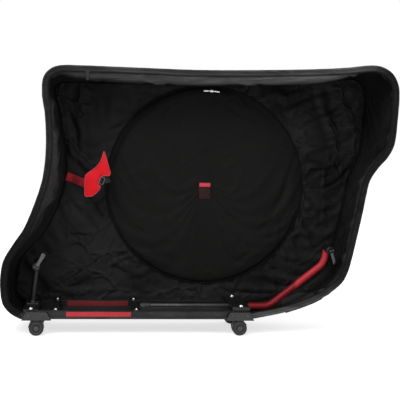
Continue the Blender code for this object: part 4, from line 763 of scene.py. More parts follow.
# Folds in the walls, by metres along the rim and metres in from it
wallFolds = [
    (0.30, 0.02, 0.62, 0.20, 0.014, 0.006), (0.36, 0.10, 0.60, 0.235, 0.010, 0.004),
    (0.42, 0.00, 0.50, 0.22, 0.012, 0.005), (0.56, 0.03, 0.74, 0.21, 0.013, 0.006),
    (0.66, 0.00, 0.80, 0.16, 0.010, 0.004), (0.72, 0.10, 0.93, 0.22, 0.012, 0.005),
    (0.86, 0.01, 0.95, 0.20, 0.012, 0.005), (1.02, 0.03, 1.06, 0.22, 0.012, 0.004),
    (1.14, 0.02, 1.30, 0.21, 0.013, 0.005), (1.30, 0.05, 1.50, 0.15, 0.011, 0.004),
    (1.46, 0.02, 1.60, 0.21, 0.012, 0.005), (1.66, 0.06, 1.88, 0.16, 0.012, 0.004),
    (1.86, 0.02, 1.98, 0.22, 0.012, 0.005), (2.02, 0.04, 2.22, 0.20, 0.014, 0.005),
    (2.24, 0.02, 2.34, 0.30, 0.014, 0.006), (2.40, 0.05, 2.52, 0.32, 0.013, 0.005),
    (2.56, 0.02, 2.66, 0.30, 0.012, 0.005), (2.70, 0.03, 2.74, 0.28, 0.012, 0.006),
    (2.82, 0.02, 2.92, 0.25, 0.012, 0.006), (2.96, 0.02, 3.00, 0.22, 0.010, 0.005),
    (3.06, 0.03, 3.16, 0.22, 0.011, 0.005), (3.22, 0.05, 3.34, 0.20, 0.012, 0.004),
    (3.42, 0.03, 3.50, 0.22, 0.012, 0.004), (3.56, 0.06, 3.74, 0.20, 0.013, 0.004),
    (1.24, 0.022, 1.38, 0.050, 0.008, 0.003), (1.34, 0.058, 1.52, 0.026, 0.008, 0.003),
    (1.50, 0.020, 1.64, 0.062, 0.009, 0.004), (1.62, 0.068, 1.76, 0.024, 0.008, 0.003),
    (1.74, 0.022, 1.90, 0.070, 0.009, 0.004), (1.86, 0.064, 1.98, 0.022, 0.008, 0.004),
    (1.96, 0.020, 2.10, 0.076, 0.009, 0.004), (2.06, 0.072, 2.16, 0.020, 0.008, 0.003),
]
# Folds in the far panel, by X and Z
panelFolds = [
    (-0.460, 0.800, -0.430, 0.560, 0.013, 0.006), (-0.410, 0.740, -0.388, 0.560, 0.010, 0.005),
    (-0.455, 0.640, -0.330, 0.500, 0.012, 0.004), (-0.420, 0.450, -0.300, 0.330, 0.014, 0.006),
    (-0.370, 0.470, -0.270, 0.330, 0.010, 0.005), (-0.540, 0.380, -0.400, 0.440, 0.012, 0.004),
    (-0.560, 0.250, -0.420, 0.300, 0.012, 0.004), (-0.350, 0.810, -0.240, 0.720, 0.012, 0.004),
    (-0.300, 0.230, -0.180, 0.180, 0.012, 0.004), (0.300, 0.820, 0.470, 0.850, 0.012, 0.006),
    (0.340, 0.770, 0.540, 0.850, 0.011, 0.007), (0.390, 0.700, 0.580, 0.800, 0.012, 0.007),
    (0.400, 0.620, 0.600, 0.700, 0.012, 0.007), (0.400, 0.560, 0.560, 0.600, 0.011, 0.006),
    (0.405, 0.500, 0.540, 0.530, 0.011, 0.005), (0.400, 0.420, 0.540, 0.440, 0.011, 0.005),
    (0.370, 0.330, 0.530, 0.330, 0.012, 0.005), (0.330, 0.250, 0.500, 0.230, 0.012, 0.005),
    (0.200, 0.180, 0.420, 0.150, 0.011, 0.005), (0.140, 0.130, 0.360, 0.110, 0.010, 0.004),
    (0.460, 0.880, 0.530, 0.640, 0.014, 0.006), (0.520, 0.870, 0.600, 0.720, 0.012, 0.005),
]
wallSet = {"ridge": 0.0060, "ridgeWidth": 0.011, "sunk": -0.0045, "sunkEnds": 0.09,
           "stripWelt": 0.0014, "foldTurns": (15.0, 32.0, 50.0, 70.0, 90.0)}


def buildWalls():
    # rows run round the whole outline and columns from the open edge to the far corner
    across = np.linspace(0, 1, bag["acrossSamples"])
    draw = smoothStep(across)[None, :, None]
    flat = rim[:, None] * (1 - draw) + farLoop[:, None] * draw
    outward = unitRows(rimOut[:, None] * (1 - draw) + farOut[:, None] * draw)
    near, far = nearY + bag["setback"], farY - bag["edgeRadius"]
    depth = near[:, None] * (1 - across) + far[:, None] * across
    width = (far - near)[:, None] * across[None]
    reach = np.broadcast_to(rimReach[:, None], width.shape)
    held = smoothStep(across / 0.12) * smoothStep((1 - across) / 0.12)
    clear = smoothStep((rim[:, 1] - 0.075) / 0.05)[:, None]
    fold = foldField(reach, width, wallFolds) * held[None] * clear
    # a sewn ridge where the edge strip ends, with the cloth sunk a little behind it
    past = (across[None] - strip[:, :1]) * (far - near)[:, None]
    ridge = wallSet["ridge"] * np.exp(-(past / wallSet["ridgeWidth"]) ** 2)
    sunk = (wallSet["sunk"] * smoothStep(past / 0.02)
            * smoothStep((wallSet["sunkEnds"] - past) / 0.07))
    fold = fold + (ridge + sunk) * clear * smoothStep((1 - across) / 0.1)
    flat = flat + outward * loopRows[:, 3][:, None, None] * np.sin(math.pi * across)[None, :, None]
    rows = [inSpace(flat - outward * fold[..., None], depth)]
    for angle in np.radians(wallSet["foldTurns"]):
        drop = bag["edgeRadius"] * (1 - math.cos(angle))
        rows.append(inSpace((farLoop - farOut * drop)[:, None],
                            (farY - bag["edgeRadius"] * (1 - math.sin(angle)))[:, None]))
    points = np.concatenate(rows, axis=1)
    cols, turns = points.shape[1], len(wallSet["foldTurns"])
    uv = np.stack([np.broadcast_to(rimReach[:, None], (loopCount, cols)),
                   np.hstack([width, np.repeat(width[:, -1:] + 0.004, turns, axis=1)])], axis=-1)
    inStrip = across[None] + 0.5 / bag["acrossSamples"] < strip[:, :1]
    lining = np.full((loopCount, cols - 1), 2)
    lining[:, :inStrip.shape[1]][inStrip] = 0
    piece = makePiece("wallCloth", [(points.reshape(-1, 3), gridQuads(
        loopCount, cols, True, False)[:, ::-1], uv.reshape(-1, 2))],
        "outerCloth edgeLining outerCloth wallLining",
        "gusset_rear gusset_top gusset_front base_fabric", closed=False, sharp=60.0,
        faceLooks=lining.ravel())
    # painted light on the edge strip, fading out just past its ridge
    setPaintedLight(piece, np.hstack([smoothStep(-past / 0.03) * strip[:, 1:],
                               np.zeros((loopCount, turns))]).ravel())
    column = np.tile(np.arange(cols), loopCount)
    low = np.repeat(rim[:, 1] < 0.085, cols)
    settleCloth(piece, (column < 2) | (column > bag["acrossSamples"] - 3) | low)
    addSolidify(piece, bag["wall"])

    # a fine welt along the ridge, on the settled cloth's inner face
    settled = pointsOf(piece.data).reshape(loopCount, cols, 3)
    place = strip[:, 0] * (bag["acrossSamples"] - 1)
    column = np.clip(place.astype(int), 0, bag["acrossSamples"] - 2)
    share, row = (place - column)[:, None], np.arange(loopCount)
    line = settled[row, column] * (1 - share) + settled[row, column + 1] * share
    line = line - rimLift * (bag["wall"] + 0.0006)
    used = slice(6, rimCount - 14)
    makePiece("stripWelt", [tube(line[used], wallSet["stripWelt"], 8, rimLift[used])],
              "seamCord")


def pocketPuckers():
    # short folds that leave the pocket's piping, closer together at its lower front
    turns = np.radians(np.concatenate([np.linspace(-78, 66, 19), np.linspace(100, 268, 12)]))
    turns = turns + rng.uniform(-0.05, 0.05, len(turns))
    start = bag["pocketRadius"] + 0.004
    ends = start + rng.uniform(0.035, 0.095, len(turns))
    lean = rng.uniform(-0.14, 0.14, len(turns))
    width = rng.uniform(0.007, 0.012, len(turns))
    depth = rng.uniform(0.002, 0.0045, len(turns))
    x, z = bag["pocketX"], bag["pocketZ"]
    return np.stack([x + start * np.cos(turns), z + start * np.sin(turns),
                     x + ends * np.cos(turns + lean), z + ends * np.sin(turns + lean),
                     width, depth], axis=1)


panelSet = {"middle": (0.0263, 0.4616), "rings": 34, "innerShares": (0.42, 0.34, 0.24, 0.14),
            "nap": 0.11}


def buildPanel():
    # rings shrink from the far corner towards the middle of the wheel pocket, and in the flat
    # middle each ring has half the points of the one round it
    centre = np.array(panelSet["middle"])
    shares = np.linspace(1.0, 0.5, panelSet["rings"])
    flat = centre + (farEdge[:, None] - centre) * shares[None, :, None]
    reach = fromPocket(flat)
    past = reach - bag["pocketRadius"]
    held = smoothStep((past + 0.005) / 0.05) * smoothStep((1 - shares) / 0.05)
    clear = smoothStep((flat[..., 1] - 0.085) / 0.04)
    near = smoothStep((past - 0.002) / 0.012)
    fold = (foldField(flat[..., 0], flat[..., 1], panelFolds) * held
            + foldField(flat[..., 0], flat[..., 1], pocketPuckers()) * near) * clear
    cols = len(shares)
    faces = gridQuads(loopCount, cols, True, False)[:, ::-1].tolist()
    verts = inSpace(flat, halfWidth(flat) - fold).reshape(-1, 3)
    outer = np.arange(loopCount) * cols + cols - 1
    for share in panelSet["innerShares"]:
        inner = len(verts) + np.arange(len(outer) // 2)
        ringFlat = (centre + (farEdge - centre) * share)[::loopCount // len(inner)]
        verts = np.vstack([verts, inSpace(ringFlat, halfWidth(ringFlat))])
        faces += np.stack([outer[0::2], outer[1::2], np.roll(outer, -2)[0::2],
                           np.roll(inner, -1), inner], axis=1).tolist()
        outer = inner
    faces.append(outer.tolist())
    piece = makePiece("panelCloth", [(verts, faces, verts[:, (0, 2)])], "outerCloth panelLining",
                      "side_panel", closed=False, sharp=60.0)
    # painted light on the far panel's upper front
    setPaintedLight(piece, panelSet["nap"] * smoothStep((verts[:, 0] - 0.28) / 0.16)
             * smoothStep((verts[:, 2] - 0.52) / 0.20))
    inMiddle = np.zeros(len(verts) - reach.size)
    around = np.concatenate([reach.ravel(), inMiddle])
    ring = np.concatenate([np.tile(np.arange(cols), loopCount), inMiddle + cols])
    pinned = (ring < 2) | (around < bag["pocketRadius"] + 0.004) | (verts[:, 2] < 0.10)
    settleCloth(piece, pinned, slack=0.030, gravity=0.3, frames=16, cap=0.005)
    addSolidify(piece, bag["wall"])


buildWalls()
print("walls made")
buildPanel()
print("far panel made")


# The open edge: binding, zip tape, teeth, and the bound seam at the far corner
edgeTrim = {
    "bindingRadius": 0.004, "ripple": 0.035, "rippleRate": 900.0, "tapeStart": 0.0083,
    "tapeWidth": 0.0118, "tapeThick": 0.0012, "stitchInsets": (0.0112, 0.0172),
    # bindingPaintedLight and tapePaintedLight: how much of the edge strip's painted light the
    # binding and zip tape take
    "bindingPaintedLight": 0.8, "tapePaintedLight": 0.6, "teethStart": 0.0201, "toothPitch": 0.0034,
    "toothThick": 0.0030, "cordRadius": 0.0011, "seamRadius": 0.0016, "seamTurn": 62.0,
    # a tooth is a narrow neck with a wider head: in from the tape, half width, thickness share
    "tooth": ((-0.0016, 0.00085, 1.0), (0.0012, 0.00080, 1.0), (0.0022, 0.00062, 0.8),
              (0.0032, 0.00105, 1.0), (0.0042, 0.00080, 0.7)),
}


def rimPath(inset, lift, trim):  # a line beside the open edge, and its outward direction
    line = inSpace(rim - rimOut * inset, nearY + lift)
    return line[trim:rimCount - trim], rimLift[trim:rimCount - trim]


def buildEdge():
    # binding, tape and teeth follow the rim, each at its own distance in from it
    # pale is the edge strip's painted light, carried on to the binding and the zip tape
    radius, pale = edgeTrim["bindingRadius"], strip[1:rimCount - 1, 1]
    path, outward = rimPath(radius, radius, 1)
    ripple = 1 + edgeTrim["ripple"] * np.sin(rimReach[1:rimCount - 1] * edgeTrim["rippleRate"])
    piece = makePiece("rolledBinding", [tube(path, radius, 12, outward, size=ripple)],
                      "bindingTape", "rim_binding")
    setPaintedLight(piece, np.repeat(pale * edgeTrim["bindingPaintedLight"], 12))

    path, outward = rimPath(edgeTrim["tapeStart"] + edgeTrim["tapeWidth"] / 2, radius, 1)
    profile = bandProfile(edgeTrim["tapeThick"], edgeTrim["tapeWidth"], 0.05, 2)
    piece = makePiece("zipTape", [sweep(path, profile, outward)], "bindingTape",
                      "zip_tape")
    setPaintedLight(piece, np.repeat(pale * edgeTrim["tapePaintedLight"], len(profile)))
    rows = [stitchRow(rimPath(inset, radius + side * edgeTrim["tapeThick"] / 2, 2)[0],
                      (0, side, 0))
            for inset in edgeTrim["stitchInsets"] for side in (1, -1)]
    makePiece("zipStitches", rows, "threadBlack")

    path, outward = rimPath(edgeTrim["teethStart"], radius, 2)
    reach = reachAlong(path)
    places = np.arange(0.004, reach[-1] - 0.004, edgeTrim["toothPitch"])
    centre = atPlaces(path, reach, places)
    run, side, rise = pathFrames(centre, -unitRows(atPlaces(outward, reach, places)))
    half = edgeTrim["toothThick"] / 2
    tooth = ringStack(edgeTrim["tooth"], [(-1, -half), (1, -half), (1, half), (-1, half)])
    teeth = repeatShape(tooth, cappedQuads(5, 4), centre, np.stack([rise, run, side], axis=1))
    path, outward = rimPath(edgeTrim["teethStart"] + 0.0004, radius, 2)
    makePiece("zipTeeth", [teeth, tube(path, edgeTrim["cordRadius"], 8, outward)],
              "zipNylon", "zip_teeth")

    # a welt outside the far seam, and its bound edge inside
    turn, radius = math.radians(edgeTrim["seamTurn"]), bag["edgeRadius"]
    used, seams = slice(1, rimCount - 1), []
    for size, reach in ((1.0, radius + 0.0006), (1.25, radius - bag["wall"] - 0.0012)):
        flat = farLoop - farOut * (radius - reach * math.cos(turn))
        path = inSpace(flat, farY - radius + reach * math.sin(turn))
        seams.append(tube(path[used], edgeTrim["seamRadius"] * size, 8,
                          inSpace(farOut, 0.0)[used]))
    makePiece("farSeamWelt", seams, "seamCord")


buildEdge()
print("open edge made")


# The wheel pocket: a round padded pocket with piping, a zip and stitching
pocket = {
    "radius": 0.350, "back": 0.1247, "edge": 0.004, "depth": 0.0112, "rings": 40, "around": 220,
    "flatAt": (0.042, 0.480), "tabAt": (0.042, 0.478), "pipingOut": 0.0033, "pipingRadius": 0.003,
    "zipRadius": 0.3375, "zipWidth": 0.012, "zipDepth": 0.012, "zipLift": 0.0003,
    "zipFrom": 80.0, "zipTo": 170.0, "toothPitch": 0.003, "zipStitches": (-0.0048, 0.0048),
    "ringStitches": (-0.0105, -0.0150), "ripple": 0.05, "rippleRate": 260, "tapeThick": 0.0012,
    "pullRing": (0.0018, 0.0026, 0.0005), "pullRingsAt": (-0.0078, 0.0078),
    # along the tooth, half width, half height
    "tooth": ((-0.0026, 0.0006, 0.0004), (-0.0020, 0.0010, 0.0008), (0.0020, 0.0010, 0.0008),
              (0.0026, 0.0006, 0.0004)),
    # the slider and its two pulls: from, to, width, thickness
    "sliderAt": 87.5, "sliderParts": ((-0.0060, 0.0060, 0.0088, 0.0042),
                                      (0.0085, 0.0285, 0.0052, 0.0014),
                                      (-0.0285, -0.0085, 0.0052, 0.0014)),
}
pocketFolds = [
    (0.250, 0.330, 0.350, 0.500, 0.012, 0.0035), (0.190, 0.270, 0.300, 0.330, 0.010, 0.0030),
    (0.150, 0.215, 0.270, 0.300, 0.009, 0.0030), (0.310, 0.420, 0.370, 0.600, 0.010, 0.0025),
    (-0.200, 0.290, -0.060, 0.220, 0.012, 0.0020), (-0.240, 0.620, -0.150, 0.740, 0.012, 0.0020),
    (0.120, 0.780, 0.240, 0.730, 0.010, 0.0022), (-0.060, 0.420, 0.160, 0.370, 0.018, 0.0018),
    (-0.100, 0.600, 0.120, 0.640, 0.020, 0.0016), (0.080, 0.300, 0.200, 0.400, 0.012, 0.0020),
]


def pocketArc(radius, y, angles):  # round the pocket's middle: (x + r * cos, y, z + r * sin)
    return np.stack(np.broadcast_arrays(bag["pocketX"] + radius * np.cos(angles), y,
                                        bag["pocketZ"] + radius * np.sin(angles)), axis=-1)


def buildPocket():
    # rings round the middle: the crown falls off with the 30th power of the radius
    back, share = pocket["back"], np.linspace(0, 1, pocket["rings"])[:, None] ** 0.75
    crown = pocket["edge"] + (pocket["depth"] - pocket["edge"]) * (1 - share ** 30)
    points = pocketArc(pocket["radius"] * share, back, circle(pocket["around"])[None])
    x, z = points[..., 0], points[..., 2]
    held = (smoothStep((1 - share) / 0.05)
            * smoothStep(np.hypot(x - pocket["flatAt"][0], z - pocket["flatAt"][1]) / 0.05))
    edge = points[-1].copy()
    points[..., 1] = back - crown + np.clip(foldField(x, z, pocketFolds) * held, -0.0022, 0.004)
    rows, cols = x.shape
    verts = np.vstack([points.reshape(-1, 3), edge])
    faces = gridQuads(rows + 1, cols, False, True).tolist()
    faces.append(list(range(rows * cols, (rows + 1) * cols)))
    piece = makePiece("pocketPad", [(verts, faces, verts[:, (0, 2)])], "pocketCloth",
                      "wheel_pocket", sharp=50.0)
    x, y, z = pointsOf(piece.data).T
    away = fromPocket(np.stack([x, z], axis=1))
    angle = np.degrees(np.arctan2(z - bag["pocketZ"], x - bag["pocketX"]))
    zipped = ((np.abs(away - pocket["zipRadius"]) < 0.010) & (angle > pocket["zipFrom"] - 4)
              & (angle < pocket["zipTo"] + 4))
    underTab = ((np.abs(x - pocket["tabAt"][0]) < 0.03) & (np.abs(z - pocket["tabAt"][1]) < 0.04))
    settleCloth(piece, (y > back - 0.001) | (away > pocket["radius"] - 0.004) | zipped | underTab,
                stretch=12.0, bending=0.8, slack=0.012, gravity=0.5, pressure=0.6, cap=0.004)

    turns = circle(240)
    path = pocketArc(pocket["radius"] + pocket["pipingOut"], back - 0.003, turns)
    # the piping's near-black is painted shade for the crease round the pocket's edge
    piping = tube(path, pocket["pipingRadius"], 12, nearWay, closed=True,
                  size=1 + pocket["ripple"] * np.sin(turns * pocket["rippleRate"]))
    makePiece("pocketWelt", [piping], "seamCord", "pocket_piping")

    middle, face = pocket["zipRadius"], back - pocket["zipDepth"] - pocket["zipLift"]
    angles = np.radians(np.linspace(pocket["zipFrom"], pocket["zipTo"], 120))
    tape = ribbon(pocketArc(middle, face - pocket["tapeThick"] / 2, angles),
                  (pocket["zipWidth"], pocket["tapeThick"], 0.3, 2), nearWay)
    makePiece("pocketZipTape", [tape], "seamCord", "pocket_zip")
    count = int(middle * (angles[-1] - angles[0]) / pocket["toothPitch"])
    spots = np.linspace(angles[0] + 0.02, angles[-1] - 0.02, count)
    c, s, o = np.cos(spots), np.sin(spots), np.zeros(count)
    axes = np.array([(c, o, s), (-s, o, c), (o, o - 1, o)]).transpose(2, 0, 1)
    section = [(-1, -0.6), (1, -0.6), (1, 0.5), (0.5, 1), (-0.5, 1), (-1, 0.5)]
    makePiece("pocketZipTeeth", [repeatShape(
        ringStack(pocket["tooth"], section), gridQuads(4, 6, False, True),
        pocketArc(middle, face - 0.0016, spots), axes)], "zipNylon")
    once = np.append(turns, math.tau)
    rows = [stitchRow(pocketArc(middle + out, back - 0.0116, once), nearWay)
            for out in pocket["ringStitches"]]
    rows += [stitchRow(pocketArc(middle + out, face - pocket["tapeThick"], angles), nearWay)
             for out in pocket["zipStitches"]]
    makePiece("pocketStitches", rows, "threadBlack")


def buildPocketSlider():
    # a slider on the zip with two flat pulls laid along it, and rings that join them
    def along(distance, lift=0.0, out=0.0):  # a place on the zip's arc: angle = distance / radius
        turned = math.radians(pocket["sliderAt"]) + distance / pocket["zipRadius"]
        return pocketArc(pocket["zipRadius"] + out,
                         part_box("pocket_slider")[0][1] + 0.0030 - lift, turned)

    size = 0.72 + 0.28 * np.sin(np.linspace(0, math.pi, 12)) ** 0.35
    shapes = [ribbon(along(np.linspace(first, last, 12)), (width, thick, 0.3), nearWay, size=size)
              for first, last, width, thick in pocket["sliderParts"]]
    turn, (half, reach, wire) = circle(20), pocket["pullRing"]
    shapes += [tube(along(spot + reach * np.cos(turn), 0.0006, half * np.sin(turn)), wire, 6,
                    nearWay, closed=True) for spot in pocket["pullRingsAt"]]
    makePiece("pocketSlider", shapes, "brightSteel", "pocket_slider",
              "pocket_slider", sharp=35.0)


buildPocket()
buildPocketSlider()
print("wheel pocket made")


# Webbing: the tab at the hub, the strap to the pad, and the pad with its buckle
strapSet = {
    "thickness": 0.0022, "strapWidth": 0.030, "tabWidth": 0.044, "foldWidth": 0.040,
    "boxStitchPitch": 0.0036,
    # the tab lies down the pocket: out of the cloth and up, from its head and from its foot
    "tailHead": ((0, -0.0013, -0.004), (0, -0.0016, -0.020)),
    "tailFoot": ((0.0005, -0.0036, 0.022), (0.001, -0.0030, 0.008), (0.001, -0.0016, 0.001)),
    "fold": ((0, -0.0040, -0.0130), (0, -0.0075, -0.0140), (0, -0.0098, -0.0095),
             (0, -0.0090, -0.0035), (0, -0.0050, -0.0012), (0, -0.0020, -0.0025)),
}


def buildTab():
    # a strip lies down the pocket, and its upper end folds forward over itself; the tail's darkened
    # red is painted shade and the fold's paler red painted light
    low, high = boxOf("hub_tab")
    head, foot = (np.array([(low[0] + high[0]) / 2, high[1], z]) for z in (high[2], low[2]))
    tail = curveThrough(np.vstack([head + strapSet["tailHead"], foot + strapSet["tailFoot"]]), 10)
    fold = curveThrough(head + strapSet["fold"], 10)
    width = strapSet["tabWidth"]
    makePiece("tabTail", [ribbon(tail, (width - 0.002, 0.002), nearWay)], "maroonWebbing")
    makePiece("tabFold", [ribbon(fold, (strapSet["foldWidth"], strapSet["thickness"]), nearWay)],
              "padTrim", "hub_tab")
    makePiece("tabStitches", [stitchRow(tail[4:-4] + (side * (width - 0.008) / 2, -0.0011, 0),
                                        nearWay) for side in (-1, 1)],
              "threadBlack")


def buildStrap():
    # a band carried along a curve from the far seam forward and down to the pad
    low, high = boxOf("rear_strap")
    top = high[2] - strapSet["strapWidth"] / 2
    foot = low[2] + strapSet["strapWidth"] / 2
    across = np.array([low[0] + 0.001, low[0] + 0.016, low[0] + 0.024, low[0] + 0.034,
                       low[0] * 0.45 + high[0] * 0.55 + 0.006, high[0] - 0.010, high[0] - 0.001])
    deep = np.array([high[1] - 0.0012, high[1] - 0.0014, high[1] - 0.0052, high[1] - 0.020,
                     (low[1] + high[1]) / 2, low[1] + 0.024, low[1] + 0.001])
    # it falls evenly across the picture: share = (seen - seenFirst) / (seenLast - seenFirst)
    seen = (across - cameraView["eye"][0]) / (deep - cameraView["eye"][1])
    fall = (seen - seen[0]) / (seen[-1] - seen[0]) * (top - foot)
    path = curveThrough(np.stack([across, deep, top - fall], axis=1), 8)
    band = (strapSet["thickness"], strapSet["strapWidth"], 0.05, 2)
    makePiece("seatStrap", [ribbon(path, band, upWay)], "redWebbing", "rear_strap")
    # a box of stitches with one diagonal holds its end to the seam
    side = low[0] + np.array([0.004, 0.016, 0.016, 0.004, 0.004, 0.016])
    height = (top + np.array([-0.011, -0.011, 0.011, 0.011, -0.011, 0.011])
              - fall[1] * (side - across[0]) / (across[1] - across[0]))
    box = np.stack([side, np.full(6, high[1] - 0.0024), height], axis=1)
    lines = np.linspace(box[:-1], box[1:], 12, endpoint=False, axis=1).reshape(-1, 3)
    makePiece("strapStitches", [stitchRow(lines, nearWay, strapSet["boxStitchPitch"])],
              "threadRed")


padOutline = np.array([
    (0.00, 0.00), (0.00, 0.465), (0.38, 0.606), (0.584, 0.736), (0.68, 0.866), (0.727, 1.00),
    (0.85, 0.79), (0.93, 0.64), (1.00, 0.51), (0.95, 0.455), (0.62, 0.455), (0.50, 0.255),
    (0.62, 0.235), (0.584, 0.157), (0.416, 0.065), (0.285, 0.012),
])
padSet = {
    "notchTop": 10, "halfCloth": 0.0022, "trimInset": 0.0030, "trimRadius": 0.0013,
    "shrink": 0.976, "cornerCut": 0.38, "voxel": 0.0024, "buckleDrop": 0.0015,
    "buckleGap": 0.0003, "buckleWide": 0.018, "buckleTall": 0.028,
    "buckleBand": (0.0036, 0.0100, 0.3), "barEnd": 0.0020, "barLift": 0.0012, "barDepth": 0.0048,
    "weaveBand": (0.0115, 0.0011, 0.4, 2), "longBand": (0.0200, 0.0013, 0.4, 2),
    # the bars: height as a share of the buckle's, then thickness
    "bars": ((0.32, 0.0042), (-0.02, 0.0034), (-0.33, 0.0046)),
    # the webbing woven through them: height share, lift
    "weave": ((0.44, 0.0010), (0.30, -0.0046), (0.14, 0.0014), (-0.02, -0.0042),
              (-0.18, 0.0014), (-0.33, -0.0046), (-0.44, -0.0010)),
    # its long end leaves upwards and away from the pad: width share, height share, lift
    "longEnd": ((0.32, 0.10, 0.0030), (0.58, 0.16, 0.0046), (0.95, 0.30, 0.0078),
                (1.35, 0.50, 0.0150)),
}


def bendThrough(start, corner, end, share):  # a parabola from start to end, pulled to a corner
    first = start * (1 - share) + corner * share
    second = corner * (1 - share) + end * share
    return first * (1 - share) + second * share


def buildPad():
    # the outline's two faces made one even grid, which the cloth step then swells
    low, high = boxOf("frame_pad")
    corners = low[[0, 2]] + padOutline * (high - low)[[0, 2]]
    flat = corners.mean(axis=0) + (corners - corners.mean(axis=0)) * padSet["shrink"]
    verts = np.vstack([inSpace(flat, low[1] + padSet["halfCloth"]),
                       inSpace(flat, high[1] - padSet["halfCloth"])])
    piece = makePiece("seatPad", [(verts, cappedQuads(2, len(flat)), None)], "redPadCloth",
                      "frame_pad")
    remesh = piece.modifiers.new("evenGrid", "REMESH")
    remesh.mode, remesh.voxel_size = "VOXEL", padSet["voxel"]
    mesh = bpy.data.meshes.new_from_object(
        piece.evaluated_get(bpy.context.evaluated_depsgraph_get()))
    piece.modifiers.remove(remesh)
    piece.data = mesh
    mesh.name = "seatPad"
    mesh.materials.clear()
    mesh.materials.append(finishes["redPadCloth"])
    mesh.shade_smooth()
    settleCloth(piece, np.zeros(len(mesh.vertices), bool), quality=5, stretch=15.0, bending=0.5,
                slack=0.0, gravity=0.0, pressure=4.0, frames=16, cap=0.0024)
    smooth = piece.modifiers.new("subdivision", "SUBSURF")
    smooth.levels = smooth.render_levels = 1

    # trim sewn round the edge: the outline with its corners cut round; its paler red is partly trim
    # tape and partly painted highlight along the pad's edge
    ahead, behind = np.roll(flat, -1, 0) - flat, np.roll(flat, 1, 0) - flat
    reach = np.minimum(*(np.linalg.norm(way, axis=1) for way in (ahead, behind)))
    reach = reach[:, None] * padSet["cornerCut"]
    loop = bendThrough((flat + unitRows(behind) * reach)[:, None], flat[:, None],
                       (flat + unitRows(ahead) * reach)[:, None],
                       np.linspace(0, 1, 6)[None, :, None]).reshape(-1, 2)
    makePiece("padTrim", [
        tube(inSpace(loop, y), padSet["trimRadius"], 8, nearWay, closed=True)
        for y in (low[1] + padSet["trimInset"], high[1] - padSet["trimInset"])],
        "padTrim")
    buildBuckle(corners[padSet["notchTop"]], corners[padSet["notchTop"] + 1])


def buildBuckle(top, foot):
    # ladder lock in the notch: a rounded frame leaning with the notch, bars, and its webbing
    low, high = boxOf("pad_buckle")
    y = (low[1] + high[1]) / 2
    up = unitRows(top - foot)
    along = np.array([up[1], -up[0]])
    wide, tall = padSet["buckleWide"], padSet["buckleTall"]
    middle = (top - up * (padSet["buckleDrop"] + tall / 2)
              + along * (padSet["buckleGap"] + wide / 2))

    def place(a, b, depth):  # a across the notch and b up it, from the buckle's middle
        return inSpace(middle + np.multiply.outer(a, along) + np.multiply.outer(b, up), depth)

    (a, b), inset = squareCircle(56, 0.3), padSet["buckleBand"][0] / 2
    shapes = [ribbon(place((wide / 2 - inset) * a, (tall / 2 - inset) * b, y),
                     padSet["buckleBand"], nearWay, closed=True)]
    ends = np.linspace(-wide / 2 + padSet["barEnd"], wide / 2 - padSet["barEnd"], 5)
    shapes += [ribbon(place(ends, np.full(5, tall * spot), y - padSet["barLift"]),
                      (thick, padSet["barDepth"], 0.35), nearWay)
               for spot, thick in padSet["bars"]]
    makePiece("ladderBuckle", shapes, "buckleGrey", "pad_buckle")
    weave = curveThrough(np.array(padSet["weave"]) * (tall, 1), 6)
    longEnd = curveThrough(np.array(padSet["longEnd"]) * (wide, tall, 1), 8)
    makePiece("buckleWebbing", [
        ribbon(place(0 * weave[:, 0], weave[:, 0], y + weave[:, 1]), padSet["weaveBand"], nearWay),
        ribbon(place(longEnd[:, 0], longEnd[:, 1], y + longEnd[:, 2]), padSet["longBand"],
               nearWay)], "blackWebbing")


buildTab()
buildStrap()
buildPad()
print("webbing and pad made")


# Carry handle on the outer face of the far panel
handleSet = {
    "span": 0.150, "centreX": -0.060, "pivotY": 0.1386, "pivotZ": 0.620, "ring": 0.0040,
    "strap": 0.030, "drop": 0.052, "gripRadius": 0.0125, "gripSquash": 0.34,
    "patchFace": 0.1330, "stitchInset": 0.004, "stitchFoot": 0.024,
    "strapThick": 0.0024,
    # the grip's line: along from the centre, out from the pivot, height
    "grip": ((-0.090, 0, 0.5680), (-0.045, 0.0006, 0.5668), (0, 0.0009, 0.5662),
             (0.045, 0.0006, 0.5668), (0.090, 0, 0.5680)),
}


def buildHandle():
    # two straps carried over their bars, and an oval grip carried across their feet
    x, y, z, ring = (handleSet[key] for key in ("centreX", "pivotY", "pivotZ", "ring"))
    shapes = []
    for side in (-1, 1):
        # the loop starts behind its bar, goes over it and comes down the front to the grip
        turn = np.linspace(math.radians(-70), math.radians(200), 16)[2:]
        bar = x + side * handleSet["span"] / 2
        over = np.stack([np.full(14, bar), y + ring * np.cos(turn), z + ring * np.sin(turn)],
                        axis=1)
        leg = [(bar, y - 0.0015, z - 0.010), (bar, y + 0.0002, z - 0.030),
               (bar, y, z - handleSet["drop"])]
        shapes.append(ribbon(curveThrough(np.vstack([over, leg]), 3),
                             (handleSet["strap"], handleSet["strapThick"], 0.4, 2), farWay))
    grip = curveThrough(np.array(handleSet["grip"]) + (x, y, 0), 14)
    fromEnd = np.minimum(np.arange(len(grip)), np.arange(len(grip))[::-1])
    section = circleProfile(handleSet["gripRadius"], 20, handleSet["gripSquash"])
    shapes.append(sweep(grip, section, farWay,
                        size=np.minimum(1.0, 0.72 + 9.0 * fromEnd / len(grip))))
    makePiece("handleLoop", shapes, "blackWebbing", "carry_handle",
              "carry_handle")
    low, high = boxOf("handle_patch")
    inset = handleSet["stitchInset"]
    left, right, head = low[0] + inset, high[0] - inset, high[2] - inset
    foot = low[2] + handleSet["stitchFoot"]
    makePiece("patchStitches", [
        stitchRow(inSpace(np.linspace(start, end, 8), handleSet["patchFace"]), farWay)
        for start, end in (((left, foot), (right, foot)), ((left, head), (right, head)),
                           ((left, foot), (left, head)), ((right, foot), (right, head)))],
        "threadBlack")
    softened("handle_patch", "blackPlastic", 0.0008)


buildHandle()
print("handle made")


